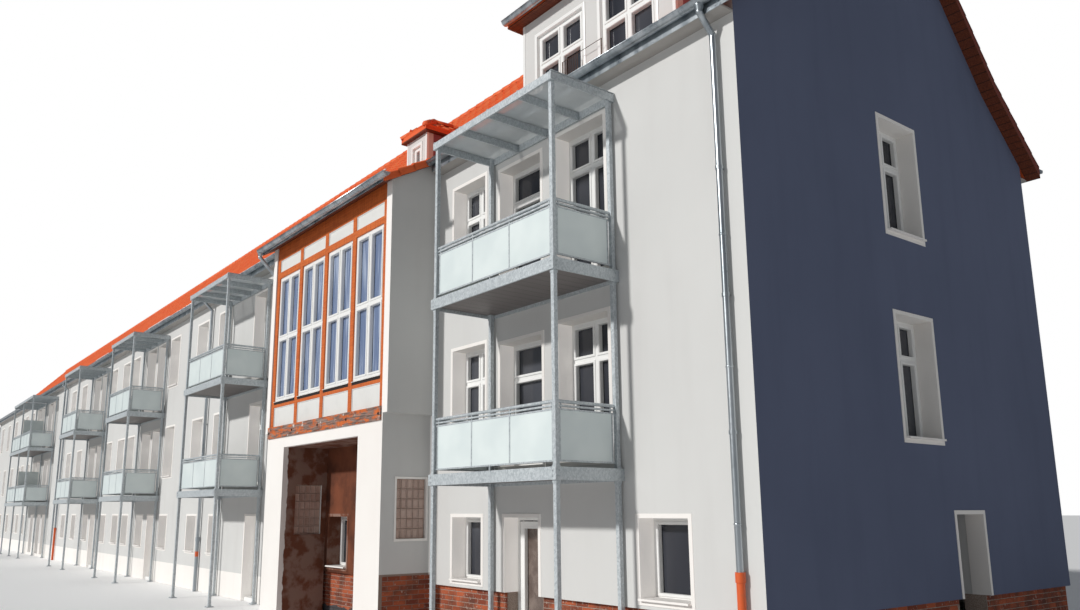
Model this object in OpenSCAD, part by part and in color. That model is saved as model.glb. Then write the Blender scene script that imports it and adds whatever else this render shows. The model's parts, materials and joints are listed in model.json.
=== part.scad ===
// Apartment block with a projecting timber bay and free-standing steel balconies.
// Half-size scale model: every length is half of the real one, in millimetres.
// Distances along the block are measured from the painted gable end.
// Depths are measured inwards from the garden front, so pieces in front are negative.

/* [Block] */
// Length from the painted gable to the far gable
block_l = 34000; // [33600:100:35600]
// Depth from the garden front to the rear face
block_d = 4150; // [4000:25:4400]
// Thickness of the outer walls
wall_t = 210; // [190:5:230]
// Thickness of the floor slabs between storeys
slab_t = 125; // [90:5:160]
// Thickness of the slab on the ground
ground_slab_t = 50; // [30:5:54]
// Height of the bare brick plinth
plinth_h = 500; // [440:10:530]
// Height of the white plinth beyond the bay
white_plinth_h = 340; // [300:10:400]
// How far the bare brick plinth stands back behind the render
plinth_setback = 40; // [10:5:60]

/* [Storeys] */
// Height of the finished first floor above the ground
first_floor_z = 1375; // [1340:5:1400]
// Height of the finished second floor above the ground
second_floor_z = 2875; // [2840:5:2900]
// Height of the attic floor above the ground
attic_floor_z = 4375; // [4340:5:4400]
// Height of the roof's underside over the front wall's face
front_eave_z = 4480; // [4450:5:4500]
// Height of the roof's underside over the rear wall's face
rear_eave_z = 4300; // [4280:5:4340]

/* [Windows] */
// Depth of the outer reveals in front of the frames
reveal_d = 140; // [110:5:150]
// Thickness of a window frame, front to back
frame_t = 34; // [26:2:36]
// Face width of the fixed frame members
frame_w = 34; // [26:2:40]
// Face width of mullions and transoms
bar_w = 38; // [28:2:46]
// Thickness of the glass sheets
glass_t = 6; // [4:1:8]
// Width of the white surround around each opening
surround_w = 24; // [16:2:30]
// How far the surround stands out from the render
surround_proud = 4; // [3:1:8]
// Thickness of the white lining inside a reveal
lining_t = 6; // [4:1:10]
// Width of a ground storey window
ground_win_w = 450; // [400:10:470]
// Height of the ground storey window sills
ground_sill_z = 548; // [540:2:580]
// Height of the ground storey window and door heads
ground_head_z = 1095; // [1080:5:1120]
// Width of an upper window
upper_win_w = 520; // [460:10:540]
// Height of an upper window
upper_win_h = 850; // [780:10:900]
// Window head above the first floor
first_head_up = 1205; // [1190:5:1215]
// Window head above the second floor
second_head_up = 1255; // [1240:5:1265]
// Width of a balcony door opening
balcony_door_w = 570; // [500:10:590]
// How far the sills stand out from the render
sill_out = 30; // [20:2:40]
// Thickness of the sills
sill_t = 14; // [10:1:18]

/* [Terrace doors] */
// Width of a terrace door opening
terrace_door_w = 450; // [420:10:470]
// Height of the threshold's top above the ground
threshold_z = 66; // [62:2:72]
// Face width of the fixed door frame
door_frame_w = 30; // [26:2:34]
// Thickness of a door leaf
leaf_t = 34; // [30:2:36]
// Face width of the leaf's rails and stiles
leaf_w = 46; // [36:2:54]
// Running gap around a leaf
leaf_gap = 8; // [8:0.5:9]
// Radius of a door's hinge knuckles
hinge_r = 7; // [6:0.5:8]

/* [Balconies] */
// Width of a single balcony
balcony_w = 1575; // [1540:5:1600]
// Width of the double balcony
double_w = 3190; // [3100:10:3240]
// How far a balcony stands out from the front
balcony_d = 622; // [560:2:700]
// Seam between a balcony's steel and the front
balcony_gap = 0.3; // [0.3:0.1:2]
// Side of the square steel posts
post_w = 50; // [40:2:60]
// Top of the lower deck above the ground
lower_deck_z = 1425; // [1400:5:1450]
// Top of the upper deck above the ground
upper_deck_z = 2850; // [2830:5:2880]
// Depth of the steel channel around a deck
deck_h = 86; // [70:2:100]
// Top of the canopy above the ground
canopy_z = 4225; // [4200:5:4240]
// Depth of the canopy's beams
canopy_h = 60; // [50:2:80]
// Thickness of the steel around decks and canopies
steel_t = 16; // [10:1:20]
// Height of the handrail's top above a deck
rail_h = 448; // [430:2:500]
// Radius of the round handrail
rail_r = 12; // [8:1:14]
// Height of the frosted panels
panel_h = 330; // [300:5:350]
// Thickness of the frosted panels
panel_t = 6; // [4:1:8]
// Height of the privacy screens
screen_h = 850; // [800:10:950]

/* [Bay] */
// Width of the bay's upper part
bay_w = 2850; // [2800:10:2900]
// How far the bay stands out from the front
bay_d = 525; // [480:5:560]
// How far each lower side stands in under the upper part
bay_setback = 80; // [40:5:90]
// Underside of the timber front above the ground
bay_floor_z = 1950; // [1940:5:1980]
// Height of the timber front's top plate
bay_top_z = 4130; // [4110:5:4140]
// Thickness of the bay's walls
bay_wall_t = 100; // [90:5:110]
// Width of the porch opening under the bay
porch_w = 1750; // [1700:10:1800]
// Height of the porch opening
porch_h = 1837; // [1820:1:1850]
// Side of the timber posts
timber_w = 72; // [60:2:80]
// Depth of the timber frame, front to back
timber_d = 80; // [60:5:95]
// Height of the weathered sill beam
sill_beam_h = 128; // [110:2:140]
// Height of the lower row of infill panels
lower_infill_h = 225; // [210:5:240]
// Height of the upper row of infill panels
upper_infill_h = 145; // [130:5:160]
// Rise of the bay's roof for each unit of depth
bay_roof_slope = 0.56; // [0.5:0.01:0.58]

/* [Roof] */
// Rise of the flatter strip along the eaves for each unit of depth
kick_slope = 0.86; // [0.8:0.01:0.9]
// Depth of the flatter strip, from the face of the wall
kick_run = 625; // [560:5:680]
// Height of the roof's underside at the ridge
ridge_z = 6540; // [6400:20:6700]
// Thickness of the roof, measured straight down
roof_t = 85; // [70:5:100]
// Overhang of the eaves beyond the walls
eave_out = 125; // [100:5:160]
// Overhang of the roof beyond the painted gable
verge_out = 120; // [80:5:160]
// Radius of the ridge tiles
ridge_r = 60; // [50:2:70]

/* [Dormers] */
// Distance from the gable to the middle of the wide dormer
wide_dormer_s = 1360; // [1300:10:1500]
// Width of the wide dormer
wide_dormer_w = 1750; // [1700:10:1800]
// Distance from the gable to the middle of the small dormer
small_dormer_s = 4420; // [4300:10:4600]
// Width of the small dormer
small_dormer_w = 410; // [380:10:460]
// Depth of the small dormer's front behind the wall's face
small_dormer_y = 230; // [200:10:260]
// Height of the wide dormer's eaves
wide_dormer_z = 5325; // [5290:5:5350]
// Height of the small dormer's eaves
small_dormer_z = 5140; // [5120:5:5160]
// Thickness of the dormers' walls
dormer_t = 80; // [60:5:90]
// Rise of the dormers' roofs for each unit of depth
dormer_slope = 0.72; // [0.6:0.02:0.8]

/* [Rainwater] */
// Radius of the half-round gutters
gutter_r = 38; // [30:1:44]
// Thickness of the gutters' sheet
gutter_t = 3; // [2:0.5:4]
// Radius of the downpipes
pipe_r = 22; // [18:1:26]
// Distance between the pipes' middle and the wall
pipe_off = 40; // [36:1:50]
// Height of the orange standpipes
standpipe_h = 780; // [700:10:900]

/* [Hidden] */

eps = 1;
seat = 0.3;

// Places along the block are written in thirty-fourths of its length.
function at(t) = block_l * t / 34;

// Middle of the bay, and middles and widths of the balconies, from the painted gable
bay_s = at(5);
balconies = concat([for (t = [1.915, 8.565, 13.29, 17.7]) [at(t), balcony_w]],
    [[at(24.33), double_w]]);

// A door belongs to a balcony: its place is the balcony's number and a share of its width.
function door_at(d) = balconies[d[0]][0] + d[1] * balconies[d[0]][1];
hinged_door_s = [for (d = [[0, 0.2508], [1, -0.2794], [2, -0.2413], [3, -0.1778]]) door_at(d)];
fixed_door_s = [for (x = [-0.3386, -0.1034, 0.2414]) door_at([4, x])];

// Heights of window heads and break lines
first_head_z = first_floor_z + first_head_up;
second_head_z = second_floor_z + second_head_up;
front_break_z = front_eave_z + kick_run * kick_slope;
rear_break_z = rear_eave_z + kick_run * kick_slope;
ridge_y = block_d / 2;
main_slope = (ridge_z - front_break_z) / (ridge_y - kick_run);
balcony_front = -balcony_gap - balcony_d;
bay_front = -bay_d;
bay_inner = bay_w / 2 - bay_wall_t;
lower_side = bay_w / 2 - bay_setback;

// Places of the window rows, as middle and width
ground_wins = [for (t = [0.785, 3.077, 4.445, 5.555, 9.6, 10.64, 12.16, 13.655, 14.69, 15.45, 16.475,
    18.11, 19.4, 20.62, 26.7, 27.8, 28.6, 29.9, 31.525, 33]) [at(t), ground_win_w]];
upper_wins = [for (t = [3.06, 9.6, 10.64, 12.125, 14.69, 15.45, 16.475, 19.4, 20.625, 26.7, 27.8,
    28.6, 29.9, 31.525, 33]) [at(t), upper_win_w]];
balcony_door_places = [for (d = [[0, -0.24], [1, -0.2908], [2, -0.254], [2, 0.1905], [3, -0.2654],
    [3, 0.1981], [4, -0.3856], [4, -0.1787], [4, 0.1787], [4, 0.3856]])
    [door_at(d), balcony_door_w]];
low_door = [door_at([0, 0.2457]), balcony_door_w];
low_head_drop = 48;
rear_end = 900;
rear_count = 26;
rear_pitch = (block_l - 2 * rear_end) / (rear_count - 1);
function rear_at(i) = rear_end + i * rear_pitch;
rear_s = [for (i = [0 : rear_count - 1]) rear_at(i)];
gable_win = [block_d * 0.4687, upper_win_w];
gable_win_h = 925;
gable_head_drop = 22;
gable_door = [block_d * 0.6043, 425];
gable_door_head_z = 1110;

// Openings as middle, width, bottom, top, lights across and whether there is a transom
ground_openings = [for (w = ground_wins) [w[0], w[1], ground_sill_z, ground_head_z, 1, false]];
upper_openings = [for (w = upper_wins, z = [first_head_z, second_head_z])
    [w[0], w[1], z - upper_win_h, z, 2, true]];
deck_heads = [[lower_deck_z, first_head_z], [upper_deck_z, second_head_z]];
balcony_openings = concat(
    [for (w = balcony_door_places, d = deck_heads)
        [w[0], w[1], d[0] + threshold_z, d[1], 2, true]],
    [for (d = deck_heads) [low_door[0], low_door[1], d[0] + threshold_z, d[1] - low_head_drop, 1, true]]);
fixed_openings = [for (s = fixed_door_s) [s, terrace_door_w, threshold_z, ground_head_z, 1, false]];
gable_openings = [for (z = [first_head_z - gable_head_drop, second_head_z - gable_head_drop])
    [gable_win[0], gable_win[1], z - gable_win_h, z, 2, true]];
rear_openings = concat(
    [for (s = rear_s) [s, ground_win_w, ground_sill_z, ground_head_z, 1, false]],
    [for (s = rear_s, z = [first_head_z, second_head_z])
        [s, upper_win_w, z - upper_win_h, z, 2, true]]);
front_openings = concat(ground_openings, upper_openings, balcony_openings);

// Puts a piece measured from the painted gable's front corner where the block's middle is the origin.
module place() {
    translate([block_l / 2, -block_d / 2, 0]) children();
}

// A box from its two opposite corners, in distance along the block, depth and height.
module slab(s0, s1, y0, y1, z0, z1) {
    translate([-s1, y0, z0]) cube([s1 - s0, y1 - y0, z1 - z0]);
}

// Turns an outline in depth and height into a solid from distance s0 to s1.
module along(s0, s1) {
    translate([-s1, 0, 0]) rotate([90, 0, 90]) linear_extrude(height = s1 - s0) children();
}

// Puts children drawn for an opening in width, depth and height at the front wall.
module at_front(o) {
    translate([-o[0], 0, o[2]]) children();
}

// The same at the rear wall.
module at_rear(o) {
    translate([-o[0], block_d, o[2]]) rotate([0, 0, 180]) children();
}

// The same at the painted gable.
module at_gable(o) {
    translate([0, o[0], o[2]]) rotate([0, 0, 90]) children();
}

// The same at the far gable.
module at_far_gable(o) {
    translate([-block_l, o[0], o[2]]) rotate([0, 0, -90]) children();
}

// Cuts an opening through a wall.
module opening(o) {
    translate([-o[1] / 2, -eps, 0]) cube([o[1], wall_t + 2 * eps, o[3] - o[2]]);
}

// Height of the roof's underside at a depth, over the front or the rear slope.
function front_under(y) = y < kick_run ? front_eave_z + y * kick_slope
    : front_break_z + (y - kick_run) * main_slope;
function rear_under(y) = rear_eave_z + (block_d - y) * kick_slope;

module floor_slabs() {
    color("gainsboro") place() {
        slab(wall_t, block_l - wall_t, wall_t, block_d - wall_t, 0, ground_slab_t);
        for (z = [first_floor_z, second_floor_z, attic_floor_z]) {
            slab(wall_t, block_l - wall_t, wall_t, block_d - wall_t, z - slab_t, z);
        }
    }
}

// Cuts the doorways of the terrace doors out of a ground storey piece.
module doorway_cuts() {
    for (s = hinged_door_s) {
        slab(s - terrace_door_w / 2, s + terrace_door_w / 2, -eps, wall_t + eps,
            -eps, first_floor_z + eps);
    }
}

module brick_plinth() {
    y0 = gable_door[0] - gable_door[1] / 2;
    y1 = gable_door[0] + gable_door[1] / 2;
    color("peru") place() {
        difference() {
            slab(wall_t, bay_s + lower_side, plinth_setback, wall_t, 0, plinth_h);
            doorway_cuts();
        }
        slab(plinth_setback, wall_t, plinth_setback, y0, 0, plinth_h);
        slab(plinth_setback, wall_t, y1, block_d, 0, plinth_h);
    }
}

module white_plinth() {
    color("white") place() difference() {
        slab(bay_s + lower_side, block_l - wall_t, 0, wall_t, 0, white_plinth_h);
        doorway_cuts();
        for (o = fixed_openings) at_front(o) opening(o);
    }
}

module front_ground_wall() {
    color("lightgray") place() difference() {
        union() {
            slab(wall_t, bay_s + lower_side, 0, wall_t, plinth_h, first_floor_z);
            slab(bay_s + lower_side, block_l - wall_t, 0, wall_t, white_plinth_h, first_floor_z);
        }
        doorway_cuts();
        for (o = concat(ground_openings, fixed_openings)) at_front(o) opening(o);
    }
}

module door_lintels() {
    half = terrace_door_w / 2;
    color("lightgray") place() for (s = hinged_door_s) {
        slab(s - half, s + half, 0, wall_t, ground_head_z, first_floor_z);
    }
}

// Cross section of the front wall's upper storeys, with its top under the roof's slope.
module upper_wall_section() {
    polygon([[0, first_floor_z], [wall_t, first_floor_z], [wall_t, front_under(wall_t)],
        [0, front_eave_z]]);
}

module front_upper_wall() {
    color("lightgray") place() difference() {
        union() {
            along(wall_t, bay_s - bay_inner) upper_wall_section();
            along(bay_s + bay_inner, block_l - wall_t) upper_wall_section();
        }
        for (o = concat(upper_openings, balcony_openings)) at_front(o) opening(o);
    }
}

// The wall behind the bay, below and above the opening to its room.
module bay_spandrels() {
    color("lightgray") place() {
        slab(bay_s - bay_inner, bay_s + bay_inner, 0, wall_t, first_floor_z, bay_floor_z);
        along(bay_s - bay_inner, bay_s + bay_inner) intersection() {
            upper_wall_section();
            translate([-eps, bay_top_z]) square([wall_t + 2 * eps, 2 * wall_t + front_eave_z - bay_top_z]);
        }
    }
}

module rear_wall() {
    color("lightgray") place() difference() {
        along(wall_t, block_l - wall_t) polygon([[block_d - wall_t, 0], [block_d, 0],
            [block_d, rear_eave_z], [block_d - wall_t, rear_under(block_d - wall_t)]]);
        for (o = rear_openings) at_rear(o) opening(o);
    }
}

// Outline of a gable wall in depth and height, from z0 up to the roof's underside.
module gable_outline(z0) {
    polygon([[0, z0], [block_d, z0], [block_d, rear_eave_z], [block_d - kick_run, rear_break_z],
        [ridge_y, ridge_z], [kick_run, front_break_z], [0, front_eave_z]]);
}

module gable_ground_wall() {
    y0 = gable_door[0] - gable_door[1] / 2;
    y1 = gable_door[0] + gable_door[1] / 2;
    color("darkslategray") place() {
        slab(0, wall_t, 0, y0, plinth_h, gable_door_head_z);
        slab(0, wall_t, y1, block_d, plinth_h, gable_door_head_z);
    }
}

module gable_upper_wall() {
    color("darkslategray") place() difference() {
        along(0, wall_t) gable_outline(gable_door_head_z);
        for (o = gable_openings) at_gable(o) opening(o);
    }
}

module far_gable_wall() {
    color("lightgray") place() difference() {
        along(block_l - wall_t, block_l) gable_outline(0);
        for (o = gable_openings) at_far_gable(o) opening(o);
    }
}

// White surround and reveal lining around an opening of a wall.
module surround(o) {
    w = o[1];
    h = o[3] - o[2];
    difference() {
        translate([-w / 2 - surround_w, -surround_proud, -surround_w])
            cube([w + 2 * surround_w, surround_proud, h + 2 * surround_w]);
        translate([-w / 2, -surround_proud - eps, 0]) cube([w, surround_proud + 2 * eps, h]);
    }
    difference() {
        translate([-w / 2, -surround_proud, 0]) cube([w, surround_proud + reveal_d, h]);
        translate([-w / 2 + lining_t, -surround_proud - eps, lining_t])
            cube([w - 2 * lining_t, surround_proud + reveal_d + 2 * eps, h - 2 * lining_t]);
    }
}

module window_surrounds() {
    color("white") place() {
        for (o = front_openings) at_front(o) surround(o);
        for (o = rear_openings) at_rear(o) surround(o);
        for (o = gable_openings) {
            at_gable(o) surround(o);
            at_far_gable(o) surround(o);
        }
    }
}

// Surround of a doorway, open at the bottom, from a height up to its head.
module door_surround(w, h) {
    out = surround_w;
    for (side = [-1, 1]) {
        translate([side * (w / 2 - lining_t / 2) - lining_t / 2, -surround_proud, 0])
            cube([lining_t, surround_proud + reveal_d, h]);
        translate([side * (w + out) / 2 - out / 2, -surround_proud, 0])
            cube([out, surround_proud, h + out]);
    }
    translate([-w / 2, -surround_proud, h - lining_t])
        cube([w, surround_proud + reveal_d, lining_t]);
    translate([-w / 2, -surround_proud, h]) cube([w, surround_proud, out]);
}

// Height at which the surround of a terrace door begins.
function door_surround_z(s) = s < bay_s ? plinth_h : white_plinth_h;

module doorway_surrounds() {
    color("white") place() {
        for (s = concat(hinged_door_s, fixed_door_s)) {
            translate([-s, 0, door_surround_z(s)])
                door_surround(terrace_door_w, ground_head_z - door_surround_z(s));
        }
        translate([0, gable_door[0], plinth_h]) rotate([0, 0, 90])
            door_surround(gable_door[1], gable_door_head_z - plinth_h);
    }
}

// Outer sill that lies on the lining's bottom and stands out from the wall.
module window_sill(o) {
    out = surround_proud + sill_out;
    w = o[1] - 2 * lining_t;
    translate([-w / 2, -out, lining_t]) cube([w, out + reveal_d, sill_t]);
}

module window_sills() {
    color("whitesmoke") place() {
        for (o = concat(ground_openings, upper_openings)) at_front(o) window_sill(o);
        for (o = rear_openings) at_rear(o) window_sill(o);
        for (o = gable_openings) {
            at_gable(o) window_sill(o);
            at_far_gable(o) window_sill(o);
        }
    }
}

// Fixed frame of width w and height h with lights across and a transom at height t.
module frame(w, h, lights, t) {
    light_w = (w - 2 * frame_w - (lights - 1) * bar_w) / lights;
    rows = t > 0 ? [[frame_w, t - bar_w / 2], [t + bar_w / 2, h - frame_w]] : [[frame_w, h - frame_w]];
    difference() {
        translate([-w / 2, 0, 0]) cube([w, frame_t, h]);
        for (i = [0 : lights - 1], r = rows) {
            translate([-w / 2 + frame_w + i * (light_w + bar_w), -eps, r[0]])
                cube([light_w, frame_t + 2 * eps, r[1] - r[0]]);
        }
    }
}

// Height of an opening's transom above its bottom, or none.
function transom_at(o) = o[5] ? o[3] - o[2] - 300 : 0;

// Frame of an opening, behind its reveal.
module opening_frame(o) {
    translate([0, reveal_d, 0]) frame(o[1], o[3] - o[2], o[4], transom_at(o));
}

// One sheet of glass behind a frame of width w and height h.
module pane(w, h) {
    inset = frame_w / 2;
    translate([-w / 2 + inset, frame_t, inset]) cube([w - 2 * inset, glass_t, h - 2 * inset]);
}

module opening_pane(o) {
    translate([0, reveal_d, 0]) pane(o[1], o[3] - o[2]);
}

module window_frames() {
    color("white") place() {
        for (o = concat(ground_openings, upper_openings)) at_front(o) opening_frame(o);
        for (o = rear_openings) at_rear(o) opening_frame(o);
        for (o = gable_openings) {
            at_gable(o) opening_frame(o);
            at_far_gable(o) opening_frame(o);
        }
        each_dormer_window() frame($w, $h, $lights, $lights > 1 ? $h / 2 : 0);
    }
}

module window_glass() {
    color("lightsteelblue") place() {
        for (o = concat(front_openings, fixed_openings)) at_front(o) opening_pane(o);
        for (o = rear_openings) at_rear(o) opening_pane(o);
        for (o = gable_openings) {
            at_gable(o) opening_pane(o);
            at_far_gable(o) opening_pane(o);
        }
        each_bay_light() pane(field_w, bay_light_h);
        each_dormer_window() pane($w, $h);
    }
}

module balcony_doors() {
    color("white") place() {
        for (o = concat(balcony_openings, fixed_openings)) at_front(o) opening_frame(o);
    }
}

// Fixed frames of the terrace doors on their thresholds.
module terrace_door_frames() {
    half = terrace_door_w / 2;
    color("white") place() for (s = hinged_door_s) {
        difference() {
            slab(s - half, s + half, reveal_d, reveal_d + frame_t, ground_slab_t, ground_head_z);
            slab(s - half + door_frame_w, s + half - door_frame_w, reveal_d - eps,
                reveal_d + frame_t + eps, threshold_z, ground_head_z - door_frame_w);
        }
        slab(s - half, s + half, plinth_setback, wall_t, 0, ground_slab_t);
        hinge_lugs(s);
    }
}

// Size of a leaf inside its frame
leaf_half = terrace_door_w / 2 - door_frame_w - leaf_gap;
leaf_z0 = threshold_z + leaf_gap;
leaf_z1 = ground_head_z - door_frame_w - leaf_gap;
leaf_y = reveal_d;
leaf_back = leaf_y + leaf_t;
pane_over = 8;
// Hinges: height of a leaf's knuckle, its place from the leaf's end, and the pin inside it
knuckle_h = 50;
knuckle_up = 100;
pin_r = 3;
pin_clear = 0.1;
hinge_clear = 5;
lug_h = 14;
hinge_y = leaf_back + hinge_r + hinge_clear;
hinge_zs = [leaf_z0 + knuckle_up, leaf_z1 - knuckle_up - knuckle_h];

// Distance of a leaf's hinge line from its middle.
hinge_off = leaf_half - hinge_r;

// Leaf of a terrace door in its closed place, with knuckles and a handle on the room side.
module terrace_door(s) {
    difference() {
        slab(s - leaf_half, s + leaf_half, leaf_y, leaf_back, leaf_z0, leaf_z1);
        slab(s - leaf_half + leaf_w, s + leaf_half - leaf_w, leaf_y - eps, leaf_back + eps,
            leaf_z0 + leaf_w, leaf_z1 - leaf_w);
    }
    for (z = hinge_zs) translate([-s - hinge_off, hinge_y, z]) difference() {
        union() {
            cylinder(h = knuckle_h, r = hinge_r, $fn = 32);
            translate([-hinge_r, -hinge_r - hinge_clear, 0])
                cube([2 * hinge_r, hinge_r + hinge_clear, knuckle_h]);
        }
        translate([0, 0, -eps]) cylinder(h = knuckle_h + 2 * eps, r = pin_r + pin_clear, $fn = 32);
    }
    translate([-s + leaf_half - leaf_w / 2, leaf_back - eps, (leaf_z0 + leaf_z1) / 2])
        rotate([-90, 0, 0]) cylinder(h = handle_out, r = handle_h / 2, $fn = 24);
    translate([-s + leaf_half - leaf_w / 2 - handle_l, leaf_back + handle_out - handle_t,
        (leaf_z0 + leaf_z1 - handle_h) / 2]) cube([handle_l + handle_h / 2, handle_t, handle_h]);
}

// Lever handle: length, height, thickness and how far it stands out from the leaf
handle_l = 44;
handle_h = 10;
handle_t = 7;
handle_out = 22;

// Fixed half of a hinge on the frame: a lug above and below the leaf's knuckle, and the pin.
module hinge_lugs(s) {
    step = lug_h + hinge_clear;
    for (z = hinge_zs) translate([-s - hinge_off, hinge_y, z]) {
        for (z_lug = [-step, knuckle_h + hinge_clear]) translate([0, 0, z_lug]) {
            cylinder(h = lug_h, r = hinge_r, $fn = 32);
            translate([-hinge_r - leaf_gap - door_frame_w / 2, -hinge_r / 2, 0])
                cube([hinge_r + leaf_gap + door_frame_w / 2, hinge_r, lug_h]);
            translate([-hinge_r - leaf_gap - door_frame_w / 2, -hinge_r - hinge_clear, 0])
                cube([door_frame_w / 2, hinge_r + hinge_clear, lug_h]);
        }
        translate([0, 0, -step]) cylinder(h = knuckle_h + 2 * step, r = pin_r, $fn = 32);
    }
}

// Glass of a terrace door, on the room side of its leaf.
module terrace_door_glass(s) {
    half = leaf_half - leaf_w + pane_over;
    slab(s - half, s + half, leaf_back, leaf_back + glass_t, leaf_z0 + leaf_w - pane_over,
        leaf_z1 - leaf_w + pane_over);
}

module terrace_door_1() {
    color("white") place() terrace_door(hinged_door_s[0]);
}

module terrace_door_1_glass() {
    color("lightsteelblue") place() terrace_door_glass(hinged_door_s[0]);
}

module terrace_door_2() {
    color("white") place() terrace_door(hinged_door_s[1]);
}

module terrace_door_2_glass() {
    color("lightsteelblue") place() terrace_door_glass(hinged_door_s[1]);
}

module terrace_door_3() {
    color("white") place() terrace_door(hinged_door_s[2]);
}

module terrace_door_3_glass() {
    color("lightsteelblue") place() terrace_door_glass(hinged_door_s[2]);
}

module terrace_door_4() {
    color("white") place() terrace_door(hinged_door_s[3]);
}

module terrace_door_4_glass() {
    color("lightsteelblue") place() terrace_door_glass(hinged_door_s[3]);
}

// Glass-block windows of the bay's base
block_y = -212;
block_w = 310;
block_z = 900;
block_h = 530;

// The four places where glass blocks close a pier's side, as nearest and farthest distance.
pier_sides = [for (side = [-1, 1], s = [porch_w / 2, lower_side - bay_wall_t])
    side > 0 ? [bay_s + s, bay_s + s + bay_wall_t] : [bay_s - s - bay_wall_t, bay_s - s]];

module bay_piers() {
    pier_w = lower_side - porch_w / 2;
    color("white") place() difference() {
        for (side = [-1, 1]) translate([-bay_s - side * (porch_w + pier_w) / 2 - pier_w / 2, bay_front, 0])
            difference() {
                cube([pier_w, bay_d, porch_h]);
                translate([bay_wall_t, bay_wall_t, -eps])
                    cube([pier_w - 2 * bay_wall_t, bay_d, porch_h + 2 * eps]);
            }
        for (p = pier_sides) {
            slab(p[0] - eps, p[1] + eps, block_y - block_w / 2, block_y + block_w / 2,
                block_z, block_z + block_h);
        }
    }
}

module glass_block_windows() {
    inset = bay_wall_t / 4;
    color("lightcyan") place() for (p = pier_sides) {
        slab(p[0] + inset, p[1] - inset, block_y - block_w / 2, block_y + block_w / 2,
            block_z, block_z + block_h);
    }
}

// Underside of the bay's side walls, a little above the sill beam's underside.
bay_side_z = 2015;

module bay_floor() {
    color("white") place() {
        slab(bay_s - lower_side, bay_s + lower_side, bay_front, 0, porch_h, bay_floor_z);
        slab(bay_s - bay_inner, bay_s + bay_inner, bay_front + timber_d, 0, bay_floor_z, bay_side_z);
        for (side = [-1, 1]) {
            s_in = bay_s + side * bay_inner;
            s_out = bay_s + side * lower_side;
            slab(min(s_in, s_out), max(s_in, s_out), bay_front, 0, bay_floor_z, bay_side_z);
        }
    }
}

module bay_side_walls() {
    color("slategray") place() for (side = [-1, 1]) {
        s_in = bay_s + side * bay_inner;
        s_out = bay_s + side * bay_w / 2;
        slab(min(s_in, s_out), max(s_in, s_out), bay_front, 0, bay_side_z, bay_top_z);
    }
}

// Timber front of the bay: fields and heights
frame_inset = 14;
rail_t = 70;
top_rail_t = 85;
sill_beam_out = 16;
timber_y = bay_front + frame_inset;
bay_light_z = bay_floor_z + sill_beam_h + lower_infill_h + rail_t;
bay_light_h = bay_top_z - top_rail_t - upper_infill_h - rail_t - bay_light_z;
field_w = (2 * bay_inner - 5 * timber_w) / 4;
infill_rows = [[bay_floor_z + sill_beam_h, bay_light_z - rail_t],
    [bay_light_z + bay_light_h + rail_t, bay_top_z - top_rail_t]];

// Does children once for each field, at the middle of its lower edge.
module each_bay_light() {
    for (i = [0 : 3]) {
        translate([-bay_s + bay_inner - timber_w - field_w / 2 - i * (field_w + timber_w),
            timber_y + frame_inset, bay_light_z]) children();
    }
}

module bay_timber_frame() {
    color("chocolate") place() {
        difference() {
            slab(bay_s - bay_inner, bay_s + bay_inner, timber_y, bay_front + timber_d,
                bay_floor_z, bay_top_z);
            each_bay_light() {
                for (r = concat([[bay_light_z, bay_light_z + bay_light_h]], infill_rows)) {
                    translate([-field_w / 2, -timber_d, r[0] - bay_light_z])
                        cube([field_w, 3 * timber_d, r[1] - r[0]]);
                }
            }
        }
        slab(bay_s - bay_inner, bay_s + bay_inner, bay_front - sill_beam_out, timber_y,
            bay_floor_z, bay_floor_z + sill_beam_h);
    }
}

module bay_infill_panels() {
    color("whitesmoke") place() each_bay_light() {
        for (r = infill_rows) {
            translate([-field_w / 2, 0, r[0] - bay_light_z]) cube([field_w, frame_t, r[1] - r[0]]);
        }
    }
}

module bay_window_frames() {
    color("white") place() each_bay_light() frame(field_w, bay_light_h, 2, bay_light_h / 2);
}

// Top of the bay's roof at a depth; it runs up to the main roof.
function bay_top(y) = front_eave_z + roof_t + y * bay_roof_slope;
bay_roof_t = 55;
bay_verge = 50;
bay_roof_half = bay_w / 2 + bay_verge;
bay_eave_y = bay_front - eave_out;

module bay_roof() {
    color("orangered") place() along(bay_s - bay_roof_half, bay_s + bay_roof_half) difference() {
        polygon([[bay_eave_y, bay_top(bay_eave_y) - bay_roof_t], [bay_front, bay_top_z], [-seat, bay_top_z],
            [-seat, bay_top(-seat)], [bay_eave_y, bay_top(bay_eave_y)]]);
        polygon([[bay_front + 60, bay_top_z + 40], [-60, bay_top_z + 40],
            [-60, bay_top(-60) - bay_roof_t], [bay_front + 60, bay_top(bay_front + 60) - bay_roof_t]]);
    }
}

// Outline of the front slope in depth and height, with its flatter strip at the eaves.
module front_slope() {
    z = front_eave_z - eave_out * kick_slope;
    polygon([[-eave_out, z], [kick_run, front_break_z], [ridge_y, ridge_z], [ridge_y, ridge_z + roof_t],
        [kick_run, front_break_z + roof_t], [-eave_out, z + roof_t]]);
}

module rear_slope() {
    z = rear_eave_z - eave_out * kick_slope;
    polygon([[block_d + eave_out, z], [block_d - kick_run, rear_break_z], [ridge_y, ridge_z],
        [ridge_y, ridge_z + roof_t], [block_d - kick_run, rear_break_z + roof_t],
        [block_d + eave_out, z + roof_t]]);
}

// Depth at which the front slope's upper surface reaches a height.
function roof_meets(z) = kick_run + (z - front_break_z - roof_t) / main_slope;

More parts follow.
